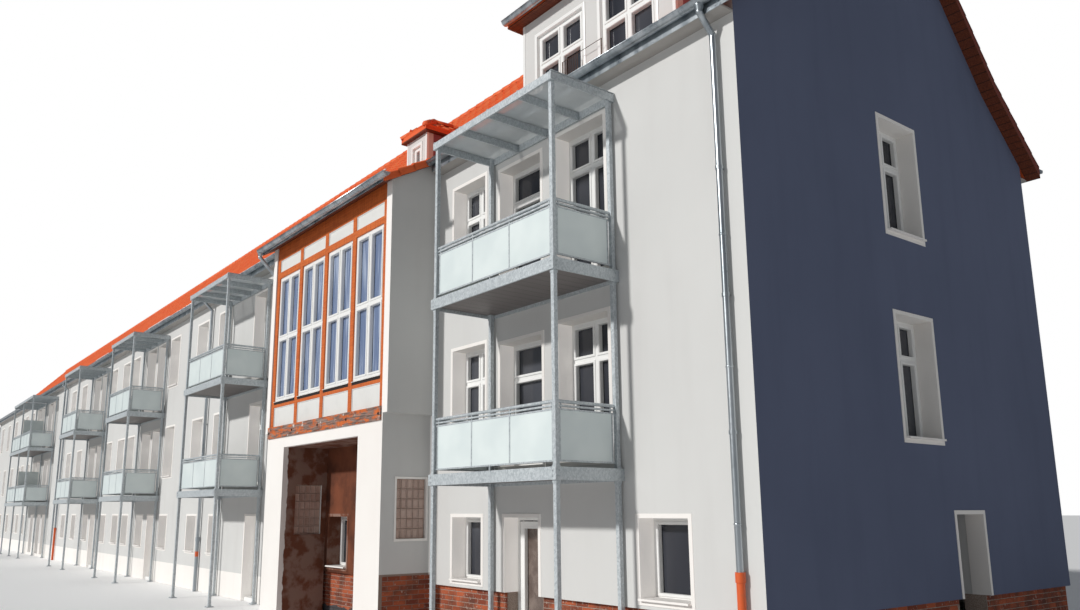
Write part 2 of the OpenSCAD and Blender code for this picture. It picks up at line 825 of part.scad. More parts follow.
module front_roof() {
    color("orangered") place() difference() {
        along(-verge_out, block_l + verge_out) front_slope();
        slab(wide_dormer_s - wide_dormer_w / 2, wide_dormer_s + wide_dormer_w / 2, 0,
            roof_meets(wide_dormer_z), front_eave_z - eps, wide_dormer_z + roof_t);
        slab(small_dormer_s - small_dormer_w / 2, small_dormer_s + small_dormer_w / 2,
            small_dormer_y, roof_meets(small_dormer_z), front_eave_z, small_dormer_z + roof_t);
        slab(bay_s - bay_roof_half - eps, bay_s + bay_roof_half + eps, -eave_out - eps, 0,
            front_eave_z - eave_out, front_eave_z + eave_out);
    }
}

module rear_roof() {
    color("orangered") place() along(-verge_out, block_l + verge_out) rear_slope();
}

module ridge_tiles() {
    base = ridge_z + roof_t + seat;
    color("orangered") place() along(-verge_out, block_l + verge_out) difference() {
        translate([ridge_y, base - 22]) circle(r = ridge_r, $fn = 48);
        translate([ridge_y, base - 22]) circle(r = ridge_r - 10, $fn = 48);
        polygon([[ridge_y - 2 * ridge_r, base - 2 * ridge_r * main_slope - 2 * ridge_r],
            [ridge_y - 2 * ridge_r, base - 2 * ridge_r * main_slope], [ridge_y, base],
            [ridge_y + 2 * ridge_r, base - 2 * ridge_r * main_slope],
            [ridge_y + 2 * ridge_r, base - 2 * ridge_r * main_slope - 2 * ridge_r]]);
    }
}

// Boards under the roof's overhang at both gables and around the dormers
board_t = 14;
wide_dormer_out = 100;
small_dormer_out = 50;

module dormer_eave_boards(s, w, y0, z0, out) {
    z1 = z0 - seat;
    slab(s - w / 2 - out, s + w / 2 + out, y0 - out, y0, z1 - board_t, z1);
    for (side = [-1, 1]) {
        s_edge = s + side * w / 2;
        slab(min(s_edge, s_edge + side * out), max(s_edge, s_edge + side * out), y0 + seat,
            roof_meets(z1 - board_t) - seat, z1 - board_t, z1);
    }
}

module verge_boards() {
    color("saddlebrown") place() {
        for (s = [-verge_out, block_l + seat]) {
            along(s, s + verge_out - seat) difference() {
                translate([0, -board_t]) {
                    front_slope();
                    rear_slope();
                }
                front_slope();
                rear_slope();
                translate([0, board_t]) {
                    front_slope();
                    rear_slope();
                }
            }
        }
        dormer_eave_boards(wide_dormer_s, wide_dormer_w, 0, wide_dormer_z, wide_dormer_out);
        dormer_eave_boards(small_dormer_s, small_dormer_w, small_dormer_y, small_dormer_z,
            small_dormer_out);
    }
}

// Boards under the eaves and behind the gutters, along the whole block but for the bay.
module eave_boards() {
    z_front = front_eave_z - eave_out * kick_slope;
    z_rear = rear_eave_z - eave_out * kick_slope;
    color("lightgray") place() {
        for (r = [[0, bay_s - bay_roof_half - eps], [bay_s + bay_roof_half + eps, block_l]]) {
            slab(r[0], r[1], -eave_out, -seat, z_front - board_t - seat, z_front - seat);
        }
        slab(0, block_l, block_d + seat, block_d + eave_out, z_rear - board_t - seat, z_rear - seat);
    }
}

// Windows of the dormers
wide_win_w = 580;
wide_win_h = 565;
wide_win_z = 4565;
wide_win_off = 392;
small_win_w = 165;
small_win_h = 265;
small_win_z = 4760;
dormer_reveal = 20;

// Does children once for each dormer window, with its width, height and lights set.
module each_dormer_window() {
    for (i = [-1, 1]) {
        translate([-wide_dormer_s - i * wide_win_off, dormer_reveal, wide_win_z]) {
            $w = wide_win_w;
            $h = wide_win_h;
            $lights = 2;
            children();
        }
    }
    translate([-small_dormer_s, small_dormer_y + dormer_reveal, small_win_z]) {
        $w = small_win_w;
        $h = small_win_h;
        $lights = 1;
        children();
    }
}

// Front wall of a dormer, with its foot bevelled to stand on the wall or in the roof.
module dormer_front(s, w, y0, z1) {
    along(s - w / 2 + seat, s + w / 2 - seat) polygon([[y0 + seat, front_under(y0 + seat) + seat],
        [y0 + dormer_t, front_under(y0 + dormer_t) + seat], [y0 + dormer_t, z1], [y0 + seat, z1]]);
}

module dormer_walls() {
    color("lightgray") place() difference() {
        union() {
            dormer_front(wide_dormer_s, wide_dormer_w, 0, wide_dormer_z);
            dormer_front(small_dormer_s, small_dormer_w, small_dormer_y, small_dormer_z);
        }
        each_dormer_window() translate([-$w / 2, -dormer_t, 0]) cube([$w, 3 * dormer_t, $h]);
    }
}

// Clad sides of a dormer, from its front wall back to where the roof reaches its eaves.
module dormer_cheek_pair(s, w, y0, z1) {
    y1 = y0 + dormer_t;
    for (side = [-1, 1]) {
        s_edge = s + side * (w / 2 - seat);
        s_in = s_edge - side * dormer_t;
        along(min(s_edge, s_in), max(s_edge, s_in)) difference() {
            translate([y1, front_eave_z]) square([roof_meets(z1) - y1 - seat, z1 - front_eave_z]);
            translate([0, seat]) polygon([[0, 0], [0, front_eave_z], [kick_run, front_break_z],
                [ridge_y, ridge_z], [ridge_y, 0]]);
        }
    }
}

module dormer_cheeks() {
    color("rosybrown") place() {
        dormer_cheek_pair(wide_dormer_s, wide_dormer_w, 0, wide_dormer_z);
        dormer_cheek_pair(small_dormer_s, small_dormer_w, small_dormer_y, small_dormer_z);
    }
}

// Everything under the main roof's upper surface, in depth and height.
module main_roof_solid() {
    translate([0, roof_t + seat]) polygon([[-kick_run, front_eave_z - kick_run * kick_slope - ridge_z],
        [-kick_run, front_eave_z - kick_run * kick_slope], [kick_run, front_break_z],
        [2 * ridge_y, ridge_z + ridge_y * main_slope], [2 * ridge_y, front_eave_z - ridge_z]]);
}

dormer_edge_t = 40;

// Hipped shell shape of a dormer's roof, with its eaves at height z0.
module dormer_prism(s, half, y0, z0) {
    rise = half * dormer_slope;
    back = roof_meets(z0 + rise + dormer_edge_t);
    intersection() {
        translate([-s, y0, z0]) rotate([-90, 0, 0]) linear_extrude(height = back - y0)
            polygon([[-half, 0], [half, 0], [half, -dormer_edge_t], [0, -rise - dormer_edge_t],
                [-half, -dormer_edge_t]]);
        along(s - half, s + half) difference() {
            polygon([[y0, z0], [back, z0], [back, z0 + rise + dormer_edge_t],
                [y0 + half, z0 + rise + dormer_edge_t], [y0, z0 + dormer_edge_t]]);
            main_roof_solid();
        }
    }
}

module dormer_roof(s, w, y0, z0, out) {
    difference() {
        dormer_prism(s, w / 2 + out, y0 - out, z0);
        intersection() {
            translate([0, 0, -dormer_edge_t * 1.6]) dormer_prism(s, w / 2 + out, y0 - out, z0);
            slab(s - w / 2 + dormer_t, s + w / 2 - dormer_t, y0 + dormer_t, block_d, z0 - roof_t,
                ridge_z + roof_t);
        }
        slab(s - w / 2 + dormer_t, s + w / 2 - dormer_t, y0 + dormer_t, roof_meets(z0 + dormer_edge_t),
            z0 - eps, z0 + dormer_edge_t / 2);
    }
}

module dormer_roofs() {
    color("orangered") place() {
        dormer_roof(wide_dormer_s, wide_dormer_w, 0, wide_dormer_z, wide_dormer_out);
        dormer_roof(small_dormer_s, small_dormer_w, small_dormer_y, small_dormer_z, small_dormer_out);
    }
}

// Half-round gutter from distance s0 to s1 with closed ends.
module gutter(s0, s1) {
    along(s0, s1) difference() {
        circle(r = gutter_r, $fn = 48);
        circle(r = gutter_r - gutter_t, $fn = 48);
        translate([-2 * gutter_r, 0]) square([4 * gutter_r, 2 * gutter_r]);
    }
    for (s = [s0, s1 - gutter_t]) {
        along(s, s + gutter_t) difference() {
            circle(r = gutter_r, $fn = 48);
            translate([-2 * gutter_r, 0]) square([4 * gutter_r, 2 * gutter_r]);
        }
    }
}

gutter_y = -eave_out - gutter_r - seat;
gutter_z = front_eave_z - eave_out * kick_slope + roof_t - 10;
rear_gutter_z = rear_eave_z - eave_out * kick_slope + roof_t - 10;
bay_gutter_z = bay_top(bay_eave_y) - 10;
bay_gutter_y = bay_eave_y - gutter_r - seat;
bay_gutter_out = 10;

module gutters() {
    color("silver") place() {
        translate([0, gutter_y, gutter_z]) {
            gutter(-verge_out, bay_s - bay_roof_half - bay_gutter_out);
            gutter(bay_s + bay_roof_half + bay_gutter_out, block_l + verge_out);
        }
        translate([0, block_d - gutter_y, rear_gutter_z]) gutter(-verge_out, block_l + verge_out);
        translate([0, bay_gutter_y, bay_gutter_z])
            gutter(bay_s - bay_roof_half - 13 * bay_gutter_out, bay_s + bay_roof_half + bay_gutter_out);
        translate([0, -wide_dormer_out - gutter_r - seat, wide_dormer_z + 30])
            gutter(wide_dormer_s - wide_dormer_w / 2 - wide_dormer_out + bay_gutter_out,
                wide_dormer_s + wide_dormer_w / 2 + wide_dormer_out - bay_gutter_out);
    }
}

elbow_out = 2;

// Round tube between two points in depth and height, with a bulging elbow at both ends.
module tube(y0, z0, y1, z1) {
    length = sqrt((y1 - y0) * (y1 - y0) + (z1 - z0) * (z1 - z0));
    translate([0, y0, z0]) rotate([atan2(y0 - y1, z1 - z0), 0, 0])
        cylinder(h = length, r = pipe_r, $fn = 32);
    for (p = [[y0, z0], [y1, z1]]) translate([0, p[0], p[1]]) sphere(r = pipe_r + elbow_out, $fn = 48);
}

// Downpipe with a swan neck, from the underside of a gutter to height z_low.
module downpipe(y_out, z_gutter, z_low) {
    z_out = z_gutter - gutter_r;
    z_neck = z_out - 45;
    z_wall = z_neck + y_out + pipe_off;
    translate([0, y_out, z_neck]) cylinder(h = 45 - seat, r = pipe_r, $fn = 32);
    tube(y_out, z_neck, -pipe_off, z_wall);
    translate([0, -pipe_off, z_low]) cylinder(h = z_wall - z_low, r = pipe_r, $fn = 32);
}

collar_t = 4;

// Clip around a downpipe with its stay to the wall.
module pipe_clip(z) {
    translate([0, -pipe_off, z]) cylinder(h = 24, r = pipe_r + collar_t, $fn = 32);
    translate([-8, -pipe_off + pipe_r, z + 6]) cube([16, pipe_off - pipe_r - seat, 12]);
}

// Distances of the downpipes; the rear ones stand midway between windows
front_pipe_s = [145, at(10.15), at(21.3), block_l - 200];
rear_pipe_s = [145, rear_at(7.5), rear_at(15.5), block_l - 200];
bay_pipe_s = bay_s + bay_w / 2 + 35;
clip_zs = [for (share = [0.355, 0.547, 0.7355]) share * front_eave_z];

module downpipes() {
    color("silver") place() {
        for (s = front_pipe_s) translate([-s, 0, 0]) {
            downpipe(gutter_y, gutter_z, standpipe_h);
            for (z = clip_zs) pipe_clip(z);
        }
        for (s = rear_pipe_s) translate([-s, block_d, 0]) rotate([0, 0, 180]) {
            downpipe(gutter_y, rear_gutter_z, standpipe_h);
            for (z = clip_zs) pipe_clip(z);
        }
        translate([-bay_pipe_s, 0, 0]) {
            downpipe(bay_gutter_y, bay_gutter_z, standpipe_h);
            for (z = clip_zs) pipe_clip(z);
        }
    }
}

module standpipes() {
    color("orangered") place() for (p = concat([for (s = concat(front_pipe_s, [bay_pipe_s])) [s, -pipe_off]],
        [for (s = rear_pipe_s) [s, block_d + pipe_off]])) {
        translate([-p[0], p[1], 0]) {
            cylinder(h = standpipe_h - 60, r = pipe_r + 4, $fn = 32);
            difference() {
                translate([0, 0, standpipe_h - 60]) cylinder(h = 60, r = pipe_r + 9, $fn = 32);
                translate([0, 0, standpipe_h - seat]) cylinder(h = 60, r = pipe_r + seat, $fn = 32);
            }
        }
    }
}

// Middles of a balcony's posts, across and in depth
post_in = steel_t + post_w / 2;
function post_xs(w) = w > balcony_w ? [-w / 2 + post_in, 0, w / 2 - post_in]
    : [-w / 2 + post_in, w / 2 - post_in];
post_ys = [balcony_front + post_in, -balcony_gap - post_in];
deck_tops = [lower_deck_z, upper_deck_z];

module each_post(more) {
    for (b = balconies, x = post_xs(b[1]), y = post_ys) {
        translate([-b[0] + x - post_w / 2 - more, y - post_w / 2 - more, 0]) children();
    }
}

module balcony_posts() {
    color("silver") place() each_post(0) cube([post_w, post_w, canopy_z - canopy_cap]);
}

canopy_cap = 6;

// Rectangular ring of steel of width w around a balcony, from height z0 to z1.
module steel_ring(b, w, z0, z1) {
    difference() {
        slab(b[0] - b[1] / 2, b[0] + b[1] / 2, balcony_front, -balcony_gap, z0, z1);
        slab(b[0] - b[1] / 2 + w, b[0] + b[1] / 2 - w, balcony_front + w, -balcony_gap - w,
            z0 - eps, z1 + eps);
    }
}

module balcony_deck_frames() {
    color("silver") place() for (b = balconies, z = deck_tops) steel_ring(b, steel_t, z - deck_h, z);
}

deck_board_t = 50;
deck_drop = 10;

module balcony_deck_floors() {
    inset = steel_t + seat;
    color("gray") place() difference() {
        for (b = balconies, z = deck_tops) {
            slab(b[0] - b[1] / 2 + inset, b[0] + b[1] / 2 - inset, balcony_front + inset,
                -balcony_gap - inset, z - deck_drop - deck_board_t, z - deck_drop);
        }
        each_post(seat) cube([post_w + 2 * seat, post_w + 2 * seat, canopy_z]);
    }
}

module canopy_frames() {
    color("silver") place() for (b = balconies) {
        fields = b[1] > balcony_w ? 8 : 4;
        pitch = (b[1] - steel_t) / fields;
        steel_ring(b, steel_t, canopy_z - canopy_h, canopy_z);
        for (i = [1 : fields - 1]) {
            s = b[0] - b[1] / 2 + i * pitch;
            if (b[1] < double_w || i != fields / 2) {
                slab(s, s + steel_t, balcony_front + steel_t, -balcony_gap - steel_t,
                    canopy_z - canopy_h, canopy_z);
            }
        }
    }
}

module canopy_glass() {
    color("aliceblue") place() for (b = balconies) {
        slab(b[0] - b[1] / 2 + 6, b[0] + b[1] / 2 - 6, balcony_front + 6, -balcony_gap - 6,
            canopy_z + seat, canopy_z + seat + panel_t);
    }
}

// Railing of length l from x = 0: posts' stubs, panel frame, flat rail and round handrail
panel_z = 34;
panel_edge = 12;
flat_rail_h = 12;
stub_r = 6;

module railing(l, panels) {
    top = panel_z + panel_h + 2 * panel_edge;
    pitch = (l - panel_edge) / panels;
    flat_z = rail_h - 2 * rail_r - 2 * flat_rail_h;
    difference() {
        translate([0, -panel_edge / 2, panel_z]) cube([l, panel_edge, top - panel_z]);
        for (i = [0 : panels - 1]) {
            translate([panel_edge + i * pitch, -panel_edge, panel_z + panel_edge])
                cube([pitch - panel_edge, 2 * panel_edge, panel_h]);
        }
    }
    translate([0, -panel_edge, flat_z]) cube([l, 2 * panel_edge, flat_rail_h]);
    translate([0, 0, rail_h - rail_r]) rotate([0, 90, 0]) cylinder(h = l, r = rail_r, $fn = 32);
    for (i = [0 : panels]) {
        x = min(max(i * l / panels, 3 * stub_r), l - 3 * stub_r);
        translate([x, 0, top]) cylinder(h = flat_z - top, r = stub_r, $fn = 24);
        translate([x, 0, flat_z + flat_rail_h]) cylinder(h = flat_rail_h + stub_r, r = stub_r, $fn = 24);
    }
}

module railing_panels(l, panels) {
    pitch = (l - panel_edge) / panels;
    for (i = [0 : panels - 1]) {
        translate([panel_edge + i * pitch, -panel_t / 2, panel_z + panel_edge])
            cube([pitch - panel_edge, panel_t, panel_h]);
    }
}

// Does children for each length of railing, between the posts.
module each_railing() {
    side_l = post_ys[1] - post_ys[0] - post_w;
    for (b = balconies, z = deck_tops) {
        xs = post_xs(b[1]);
        for (i = [0 : len(xs) - 2]) {
            translate([-b[0] + xs[i] + post_w / 2, post_ys[0], z]) {
                $l = xs[i + 1] - xs[i] - post_w;
                $panels = 3;
                children();
            }
        }
        for (x = [xs[0], xs[len(xs) - 1]]) {
            translate([-b[0] + x, post_ys[0] + post_w / 2, z]) rotate([0, 0, 90]) {
                $l = side_l;
                $panels = 1;
                children();
            }
        }
    }
}

module balcony_railings() {
    color("silver") place() each_railing() railing($l, $panels);
}

module frosted_panels() {
    b = balconies[4];
    color("aliceblue") place() {
        each_railing() railing_panels($l, $panels);
        for (z = deck_tops) {
            slab(b[0] - panel_t / 2, b[0] + panel_t / 2, post_ys[0] + post_w / 2,
                post_ys[1] - post_w / 2, z - deck_drop, z + screen_h);
        }
    }
}

floor_slabs();
brick_plinth();
white_plinth();
front_ground_wall();
door_lintels();
front_upper_wall();
bay_spandrels();
rear_wall();
gable_ground_wall();
gable_upper_wall();
far_gable_wall();
window_surrounds();
doorway_surrounds();
window_sills();
window_frames();
window_glass();
balcony_doors();
terrace_door_frames();
terrace_door_1();
terrace_door_1_glass();
terrace_door_2();
terrace_door_2_glass();
terrace_door_3();
terrace_door_3_glass();
terrace_door_4();
terrace_door_4_glass();
bay_piers();
bay_floor();
bay_side_walls();
bay_timber_frame();
bay_infill_panels();
bay_window_frames();
bay_roof();
glass_block_windows();
front_roof();
rear_roof();
ridge_tiles();
verge_boards();
eave_boards();
dormer_walls();
dormer_cheeks();
dormer_roofs();
gutters();
downpipes();
standpipes();
balcony_posts();
balcony_deck_frames();
balcony_deck_floors();
balcony_railings();
frosted_panels();
canopy_frames();
canopy_glass();
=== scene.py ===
import json
import math

import bpy
import numpy as np
from mathutils import Matrix, Vector


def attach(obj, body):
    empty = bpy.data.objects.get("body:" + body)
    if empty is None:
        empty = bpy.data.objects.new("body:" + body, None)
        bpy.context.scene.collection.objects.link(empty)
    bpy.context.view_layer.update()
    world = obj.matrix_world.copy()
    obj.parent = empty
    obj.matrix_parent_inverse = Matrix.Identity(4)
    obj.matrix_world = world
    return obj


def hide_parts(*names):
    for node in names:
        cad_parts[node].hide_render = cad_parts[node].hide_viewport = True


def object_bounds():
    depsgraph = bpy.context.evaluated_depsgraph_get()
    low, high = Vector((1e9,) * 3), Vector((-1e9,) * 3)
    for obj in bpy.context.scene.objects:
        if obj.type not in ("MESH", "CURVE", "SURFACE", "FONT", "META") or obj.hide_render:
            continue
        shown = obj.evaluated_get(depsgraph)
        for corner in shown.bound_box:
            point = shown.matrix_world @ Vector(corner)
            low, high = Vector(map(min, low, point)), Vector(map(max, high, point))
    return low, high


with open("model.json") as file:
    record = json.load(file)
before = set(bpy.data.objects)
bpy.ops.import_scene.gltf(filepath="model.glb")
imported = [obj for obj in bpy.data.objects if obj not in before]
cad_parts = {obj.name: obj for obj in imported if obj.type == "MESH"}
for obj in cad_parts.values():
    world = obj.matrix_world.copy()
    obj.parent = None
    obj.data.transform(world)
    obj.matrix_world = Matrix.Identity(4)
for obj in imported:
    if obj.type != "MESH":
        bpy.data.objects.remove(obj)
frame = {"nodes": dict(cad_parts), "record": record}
start_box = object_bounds()
nodes = frame["nodes"]
print("solids in the frame:", len(nodes))
print("box of the solids:", [round(v, 3) for corner in start_box for v in corner])

# %% [markdown]
# Builders set a house out from one corner. Every place below is written the same way:
# as a distance along the block from the painted gable, a depth behind the garden
# front and a height above the ground, all in metres. One function turns them into
# the frame's own coordinates.
# %% Setting out
BLOCK_LENGTH, BLOCK_DEPTH = 34.0, 4.15
# The bay: its middle, the half widths of its upper part, its base and its porch, and the
# depth of its front face, which stands before the wall.
BAY = 5.0
BAY_HALF, BAY_LOWER, PORCH_HALF = 1.425, 1.345, 0.875
BAY_FRONT = -0.525
# Inside the bay's side walls: half the width between them, a post's width, and the
# width, pitch and count of the window fields.
BAY_INNER, TIMBER_WIDTH = 1.325, 0.072
FIELD_WIDTH, FIELD_PITCH, FIELD_COUNT = 0.5725, 0.6445, 4
# Pieces that stand before a face keep this clear of it.
CLEAR = 0.0003


def spot(along, depth, height):
    """Frame coordinates of places given along the block, in depth and in height."""
    x = BLOCK_LENGTH / 2 - np.asarray(along, float)
    y = np.asarray(depth, float) - BLOCK_DEPTH / 2
    return np.stack(np.broadcast_arrays(x, y, np.asarray(height, float)), axis=-1)


gable_x, front_y = BLOCK_LENGTH / 2, -BLOCK_DEPTH / 2
bay_x = gable_x - BAY
field_middles = (BAY - BAY_INNER + TIMBER_WIDTH + FIELD_WIDTH / 2
                 + np.arange(FIELD_COUNT) * FIELD_PITCH)
print("front corner of the painted gable:", spot(0, 0, 0))

# %% [markdown]
# The finishes are worked out with sums on places and colours. This small class lets
# such a sum be written as an ordinary expression, and puts one maths node into the
# material for each operation.
# %% Sums inside a material


class Value:
    """One number inside a material that can be added, multiplied and compared."""

    def __init__(self, finish, socket):
        self.finish = finish
        self.socket = socket

    def calc(self, operation, *others):
        """Puts this number and up to two others through one maths node."""
        terms = {i: v for i, v in enumerate((self, *others))}
        return self.finish.value("ShaderNodeMath", {"operation": operation}, terms)

    def __add__(self, other):
        return self.calc("ADD", other)

    __radd__ = __add__

    def __sub__(self, other):
        return self.calc("SUBTRACT", other)

    def __rsub__(self, other):
        return (self * -1.0).calc("ADD", other)

    def __mul__(self, other):
        return self.calc("MULTIPLY", other)

    __rmul__ = __mul__

    def __truediv__(self, other):
        return self.calc("DIVIDE", other)

    def __rtruediv__(self, other):
        return self.calc("POWER", -1.0) * other

    def size(self):
        """The number without its sign."""
        return self.calc("ABSOLUTE")

    def share(self, pitch):
        """How far the number has come through its step of one pitch, from 0 to 1."""
        return (self / pitch).calc("FRACT")

    def ramp(self, low, high):
        """0 below low, 1 above high, with a smooth change between them."""
        settings = {"interpolation_type": "SMOOTHSTEP"}
        terms = {"Value": self, "From Min": low, "From Max": high}
        return self.finish.value("ShaderNodeMapRange", settings, terms)

    def between(self, low, high, edge):
        """1 between low and high, falling to 0 within edge on both sides."""
        return self.ramp(low - edge, low) * self.below(high, high + edge)

    def below(self, low, high):
        """1 below low and 0 above high."""
        return 1.0 - self.ramp(low, high)


print("what a value can do:", [name for name in vars(Value) if not name.startswith("_")])

# %% [markdown]
# A finish is one material. It keeps the main shader at hand and has a short method for
# each pattern that the block needs: noise, cells, place, direction and stored numbers.
# Every other node comes from one method, so that all are made in the same way.
# %% Finishes


class Finish:
    """A material with one main shader, and short ways to vary its inputs."""

    def __init__(self, name, **constants):
        self.material = bpy.data.materials.new(name)
        self.material.use_nodes = True
        self.tree = self.material.node_tree
        self.tree.nodes.clear()
        self.shader = self.tree.nodes.new("ShaderNodeBsdfPrincipled")
        self.output = self.tree.nodes.new("ShaderNodeOutputMaterial")
        self.tree.links.new(self.shader.outputs["BSDF"], self.output.inputs["Surface"])
        for socket, value in constants.items():
            self.shader.inputs[socket.replace("_", " ")].default_value = value

    def node(self, kind, settings=None, terms=None):
        """Adds a node, sets its settings, then fills or links its sockets."""
        made = self.tree.nodes.new(kind)
        for key, value in (settings or {}).items():
            setattr(made, key, value)
        for key, term in (terms or {}).items():
            self.fill(made.inputs[key], term)
        return made

    def fill(self, socket, term):
        """Links a socket to a value or to another socket, or writes a number in it."""
        if isinstance(term, Value):
            term = term.socket
        if isinstance(term, bpy.types.NodeSocket):
            self.tree.links.new(term, socket)
        elif socket.type == "RGBA" and len(term) == 3:
            socket.default_value = (*term, 1.0)
        else:
            socket.default_value = term

    def value(self, kind, settings=None, terms=None):
        """The same as node, but returns its first output as a value."""
        return Value(self, self.node(kind, settings, terms).outputs[0])

    def three(self, vector):
        """The three numbers of a place or a direction."""
        parts = self.node("ShaderNodeSeparateXYZ", None, {0: vector})
        return [Value(self, parts.outputs[i]) for i in range(3)]

    def place(self):
        """The three object coordinates, which are the frame's coordinates in metres."""
        return self.three(self.node("ShaderNodeTexCoord").outputs["Object"])

    def facing(self):
        """The three parts of the true surface direction."""
        return self.three(self.node("ShaderNodeNewGeometry").outputs["True Normal"])

    def attribute(self, name):
        """A number stored with the faces or points of a piece."""
        made = self.node("ShaderNodeAttribute", {"attribute_name": name})
        return Value(self, made.outputs["Fac"])

    def stretched(self, stretch):
        """Object coordinates, each times its own number, which stretches a pattern."""
        where = self.node("ShaderNodeTexCoord").outputs["Object"]
        return self.node("ShaderNodeVectorMath", {"operation": "MULTIPLY"},
                         {0: where, 1: stretch}).outputs[0]

    def noise(self, scale, detail=3.0, stretch=(1.0, 1.0, 1.0), roughness=0.55):
        """Soft random patches, scale of them to the metre, stretched along an axis."""
        terms = {"Vector": self.stretched(stretch), "Scale": scale, "Detail": detail,
                 "Roughness": roughness}
        return self.value("ShaderNodeTexNoise", None, terms)

    def cells(self, scale, stretch=(1.0, 1.0, 1.0)):
        """Random cells, scale of them to the metre, each with one tone of its own."""
        made = self.node("ShaderNodeTexVoronoi", {"feature": "F1"},
                         {"Vector": self.stretched(stretch), "Scale": scale})
        return Value(self, made.outputs["Color"])

    def blend(self, amount, first, second):
        """The first colour where amount is 0, and the second where it is 1."""
        made = self.node("ShaderNodeMix", {"data_type": "RGBA", "clamp_factor": True},
                         {"Factor": amount, 6: first, 7: second})
        return made.outputs[2]

    def shade(self, colour, amount):
        """A colour made lighter or darker by a number around 1."""
        return self.node("ShaderNodeVectorMath", {"operation": "SCALE"},
                         {0: colour, "Scale": amount}).outputs[0]

    def feed(self, socket, term):
        """Sends a varying colour or number to an input of the main shader."""
        self.fill(self.shader.inputs[socket], term)

    def bump(self, height, depth, strength):
        """Raises the surface by a height between 0 and 1 times depth in metres."""
        made = self.node("ShaderNodeBump", None,
                         {"Height": height, "Distance": depth, "Strength": strength})
        self.fill(self.shader.inputs["Normal"], made.outputs["Normal"])

    def look(self, colour, roughness=None, grain=None):
        """Feeds the colour, and the roughness and a bump where they are given."""
        self.feed("Base Color", colour)
        if roughness is not None:
            self.feed("Roughness", roughness)
        if grain is not None:
            self.bump(*grain)
        return self.material

    def glow(self, amount, colour, strength):
        """A little light of its own where amount is 1, for light that bounces in a recess."""
        self.feed("Emission Color", self.blend(amount, (0.0, 0.0, 0.0), colour))
        self.feed("Emission Strength", strength)


print("patterns and inputs:", [name for name in vars(Finish) if not name.startswith("_")])

# %% [markdown]
# Colours are written as a screen shows them, from 0 to 255, because they were judged
# so. A shader works in linear light, so one function turns the one into the other.
# %% Colours


def paint(red, green, blue):
    """A screen colour from 0 to 255 as the linear colour that a shader wants."""
    srgb = np.array([red, green, blue]) / 255.0
    linear = np.where(srgb <= 0.04045, srgb / 12.92, ((srgb + 0.055) / 1.055) ** 2.4)
    return tuple(float(v) for v in linear)


print("a mid grey in linear light:", [round(v, 3) for v in paint(128, 128, 128)])

# %% [markdown]
# The walls carry a scraped mineral render: a hard skin with grains of a few
# millimetres and faint upright streaks. It is made from two sizes of noise for the
# grains, as bump, and from a broad and a stretched noise for the tone. An image would
# tile along so long a wall, and a plain colour would look like card.
# %% Render
PALE_GREY, DULL_GREY = paint(209, 209, 207), paint(199, 198, 196)
# Painted light in shaded jambs: the glow's strength and colour, and how deep into a reveal it
# reaches.
JAMB_GLOW, JAMB_LIGHT, JAMB_REACH = 0.21, paint(255, 250, 246), 0.3
PORCH_TOP, FOOT_TOP, BARE_TOP = 1.84, 0.34, 0.6


def render_finish(name, colour, shadow, grain=0.0009):
    """Scraped render: broad tone changes, streaks from rain and fine round grains."""
    finish = Finish(name, Roughness=0.9, Specular_IOR_Level=0.25)
    broad = finish.noise(0.7, 4.0)
    streak = finish.noise(5.0, 3.0, (1.0, 1.0, 0.12))
    fine = finish.noise(330.0, 2.0)
    coarse = finish.noise(120.0, 3.0)
    tone = broad.ramp(0.3, 0.75) * 0.5 + streak.ramp(0.45, 0.8) * 0.3 + (1.0 - fine) * 0.2
    skin = (fine * 0.6 + coarse * 0.4, grain, 0.6)
    return finish, tone, finish.blend(tone, colour, shadow), skin


def lit_jamb_mask(finish, start):
    """1 on faces that look toward the gable, from start behind the front's face inward: the shaded
    jambs that get painted light.
    """
    toward_gable, depth = finish.facing()[0], finish.place()[1]
    return (toward_gable.ramp(0.8, 0.9)
            * depth.between(front_y + start, front_y + JAMB_REACH, 0.001))


wall_grey, _, lit, wall_grain = render_finish("grey_render", PALE_GREY, DULL_GREY)
x, y, z = wall_grey.place()
toward_rear = wall_grey.facing()[1]

# Inside the porch the old brickwork was left bare and brown.
behind_porch = (x.between(bay_x - PORCH_HALF, bay_x + PORCH_HALF, 0.004)
                * y.between(front_y - 0.005, front_y + 0.015, 0.004)
                * z.between(-0.1, PORCH_TOP, 0.004))
soot = wall_grey.noise(3.0, 5.0)
brown = wall_grey.blend(soot.ramp(0.3, 0.7), paint(122, 70, 48), paint(76, 44, 32))
# The narrow fronts of the bay's side walls are painted white like the porch.
strip = (y.below(front_y + BAY_FRONT + 0.001, front_y + BAY_FRONT + 0.003)
         * toward_rear.below(-0.9, -0.7))
# The rear and far walls have a white band along the foot; the front has its own plinth.
on_front = y.between(front_y - 0.125, front_y + 0.275, 0.05) * x.ramp(0.1 - gable_x, 0.2 - gable_x)
foot = z.below(FOOT_TOP - 0.002, FOOT_TOP + 0.002) * (1.0 - on_front)
# The jambs of windows and doors that face the gable lie in shade: they are made white and glow
# faintly, which is painted light for the light bounced from the sunlit opposite jamb.
painted_light_jamb = lit_jamb_mask(wall_grey, 0.003) * (1.0 - behind_porch)
white_paint_and_lit_jamb = foot.calc("MAXIMUM", strip).calc("MAXIMUM", painted_light_jamb)
colour = wall_grey.blend(white_paint_and_lit_jamb, lit, paint(240, 236, 232))
wall_grey.glow(painted_light_jamb, JAMB_LIGHT, JAMB_GLOW)
grey_render = wall_grey.look(wall_grey.blend(behind_porch, colour, brown), None, wall_grain)

gable_blue, _, blue, gable_grain = render_finish(
    "blue_render", paint(100, 108, 132), paint(89, 97, 120))
# The blue paint stops at the corner: the narrow return on the front stays grey.
front_return = gable_blue.facing()[1].below(-0.9, -0.7)
blue_render = gable_blue.look(gable_blue.blend(front_return, blue, PALE_GREY), None, gable_grain)

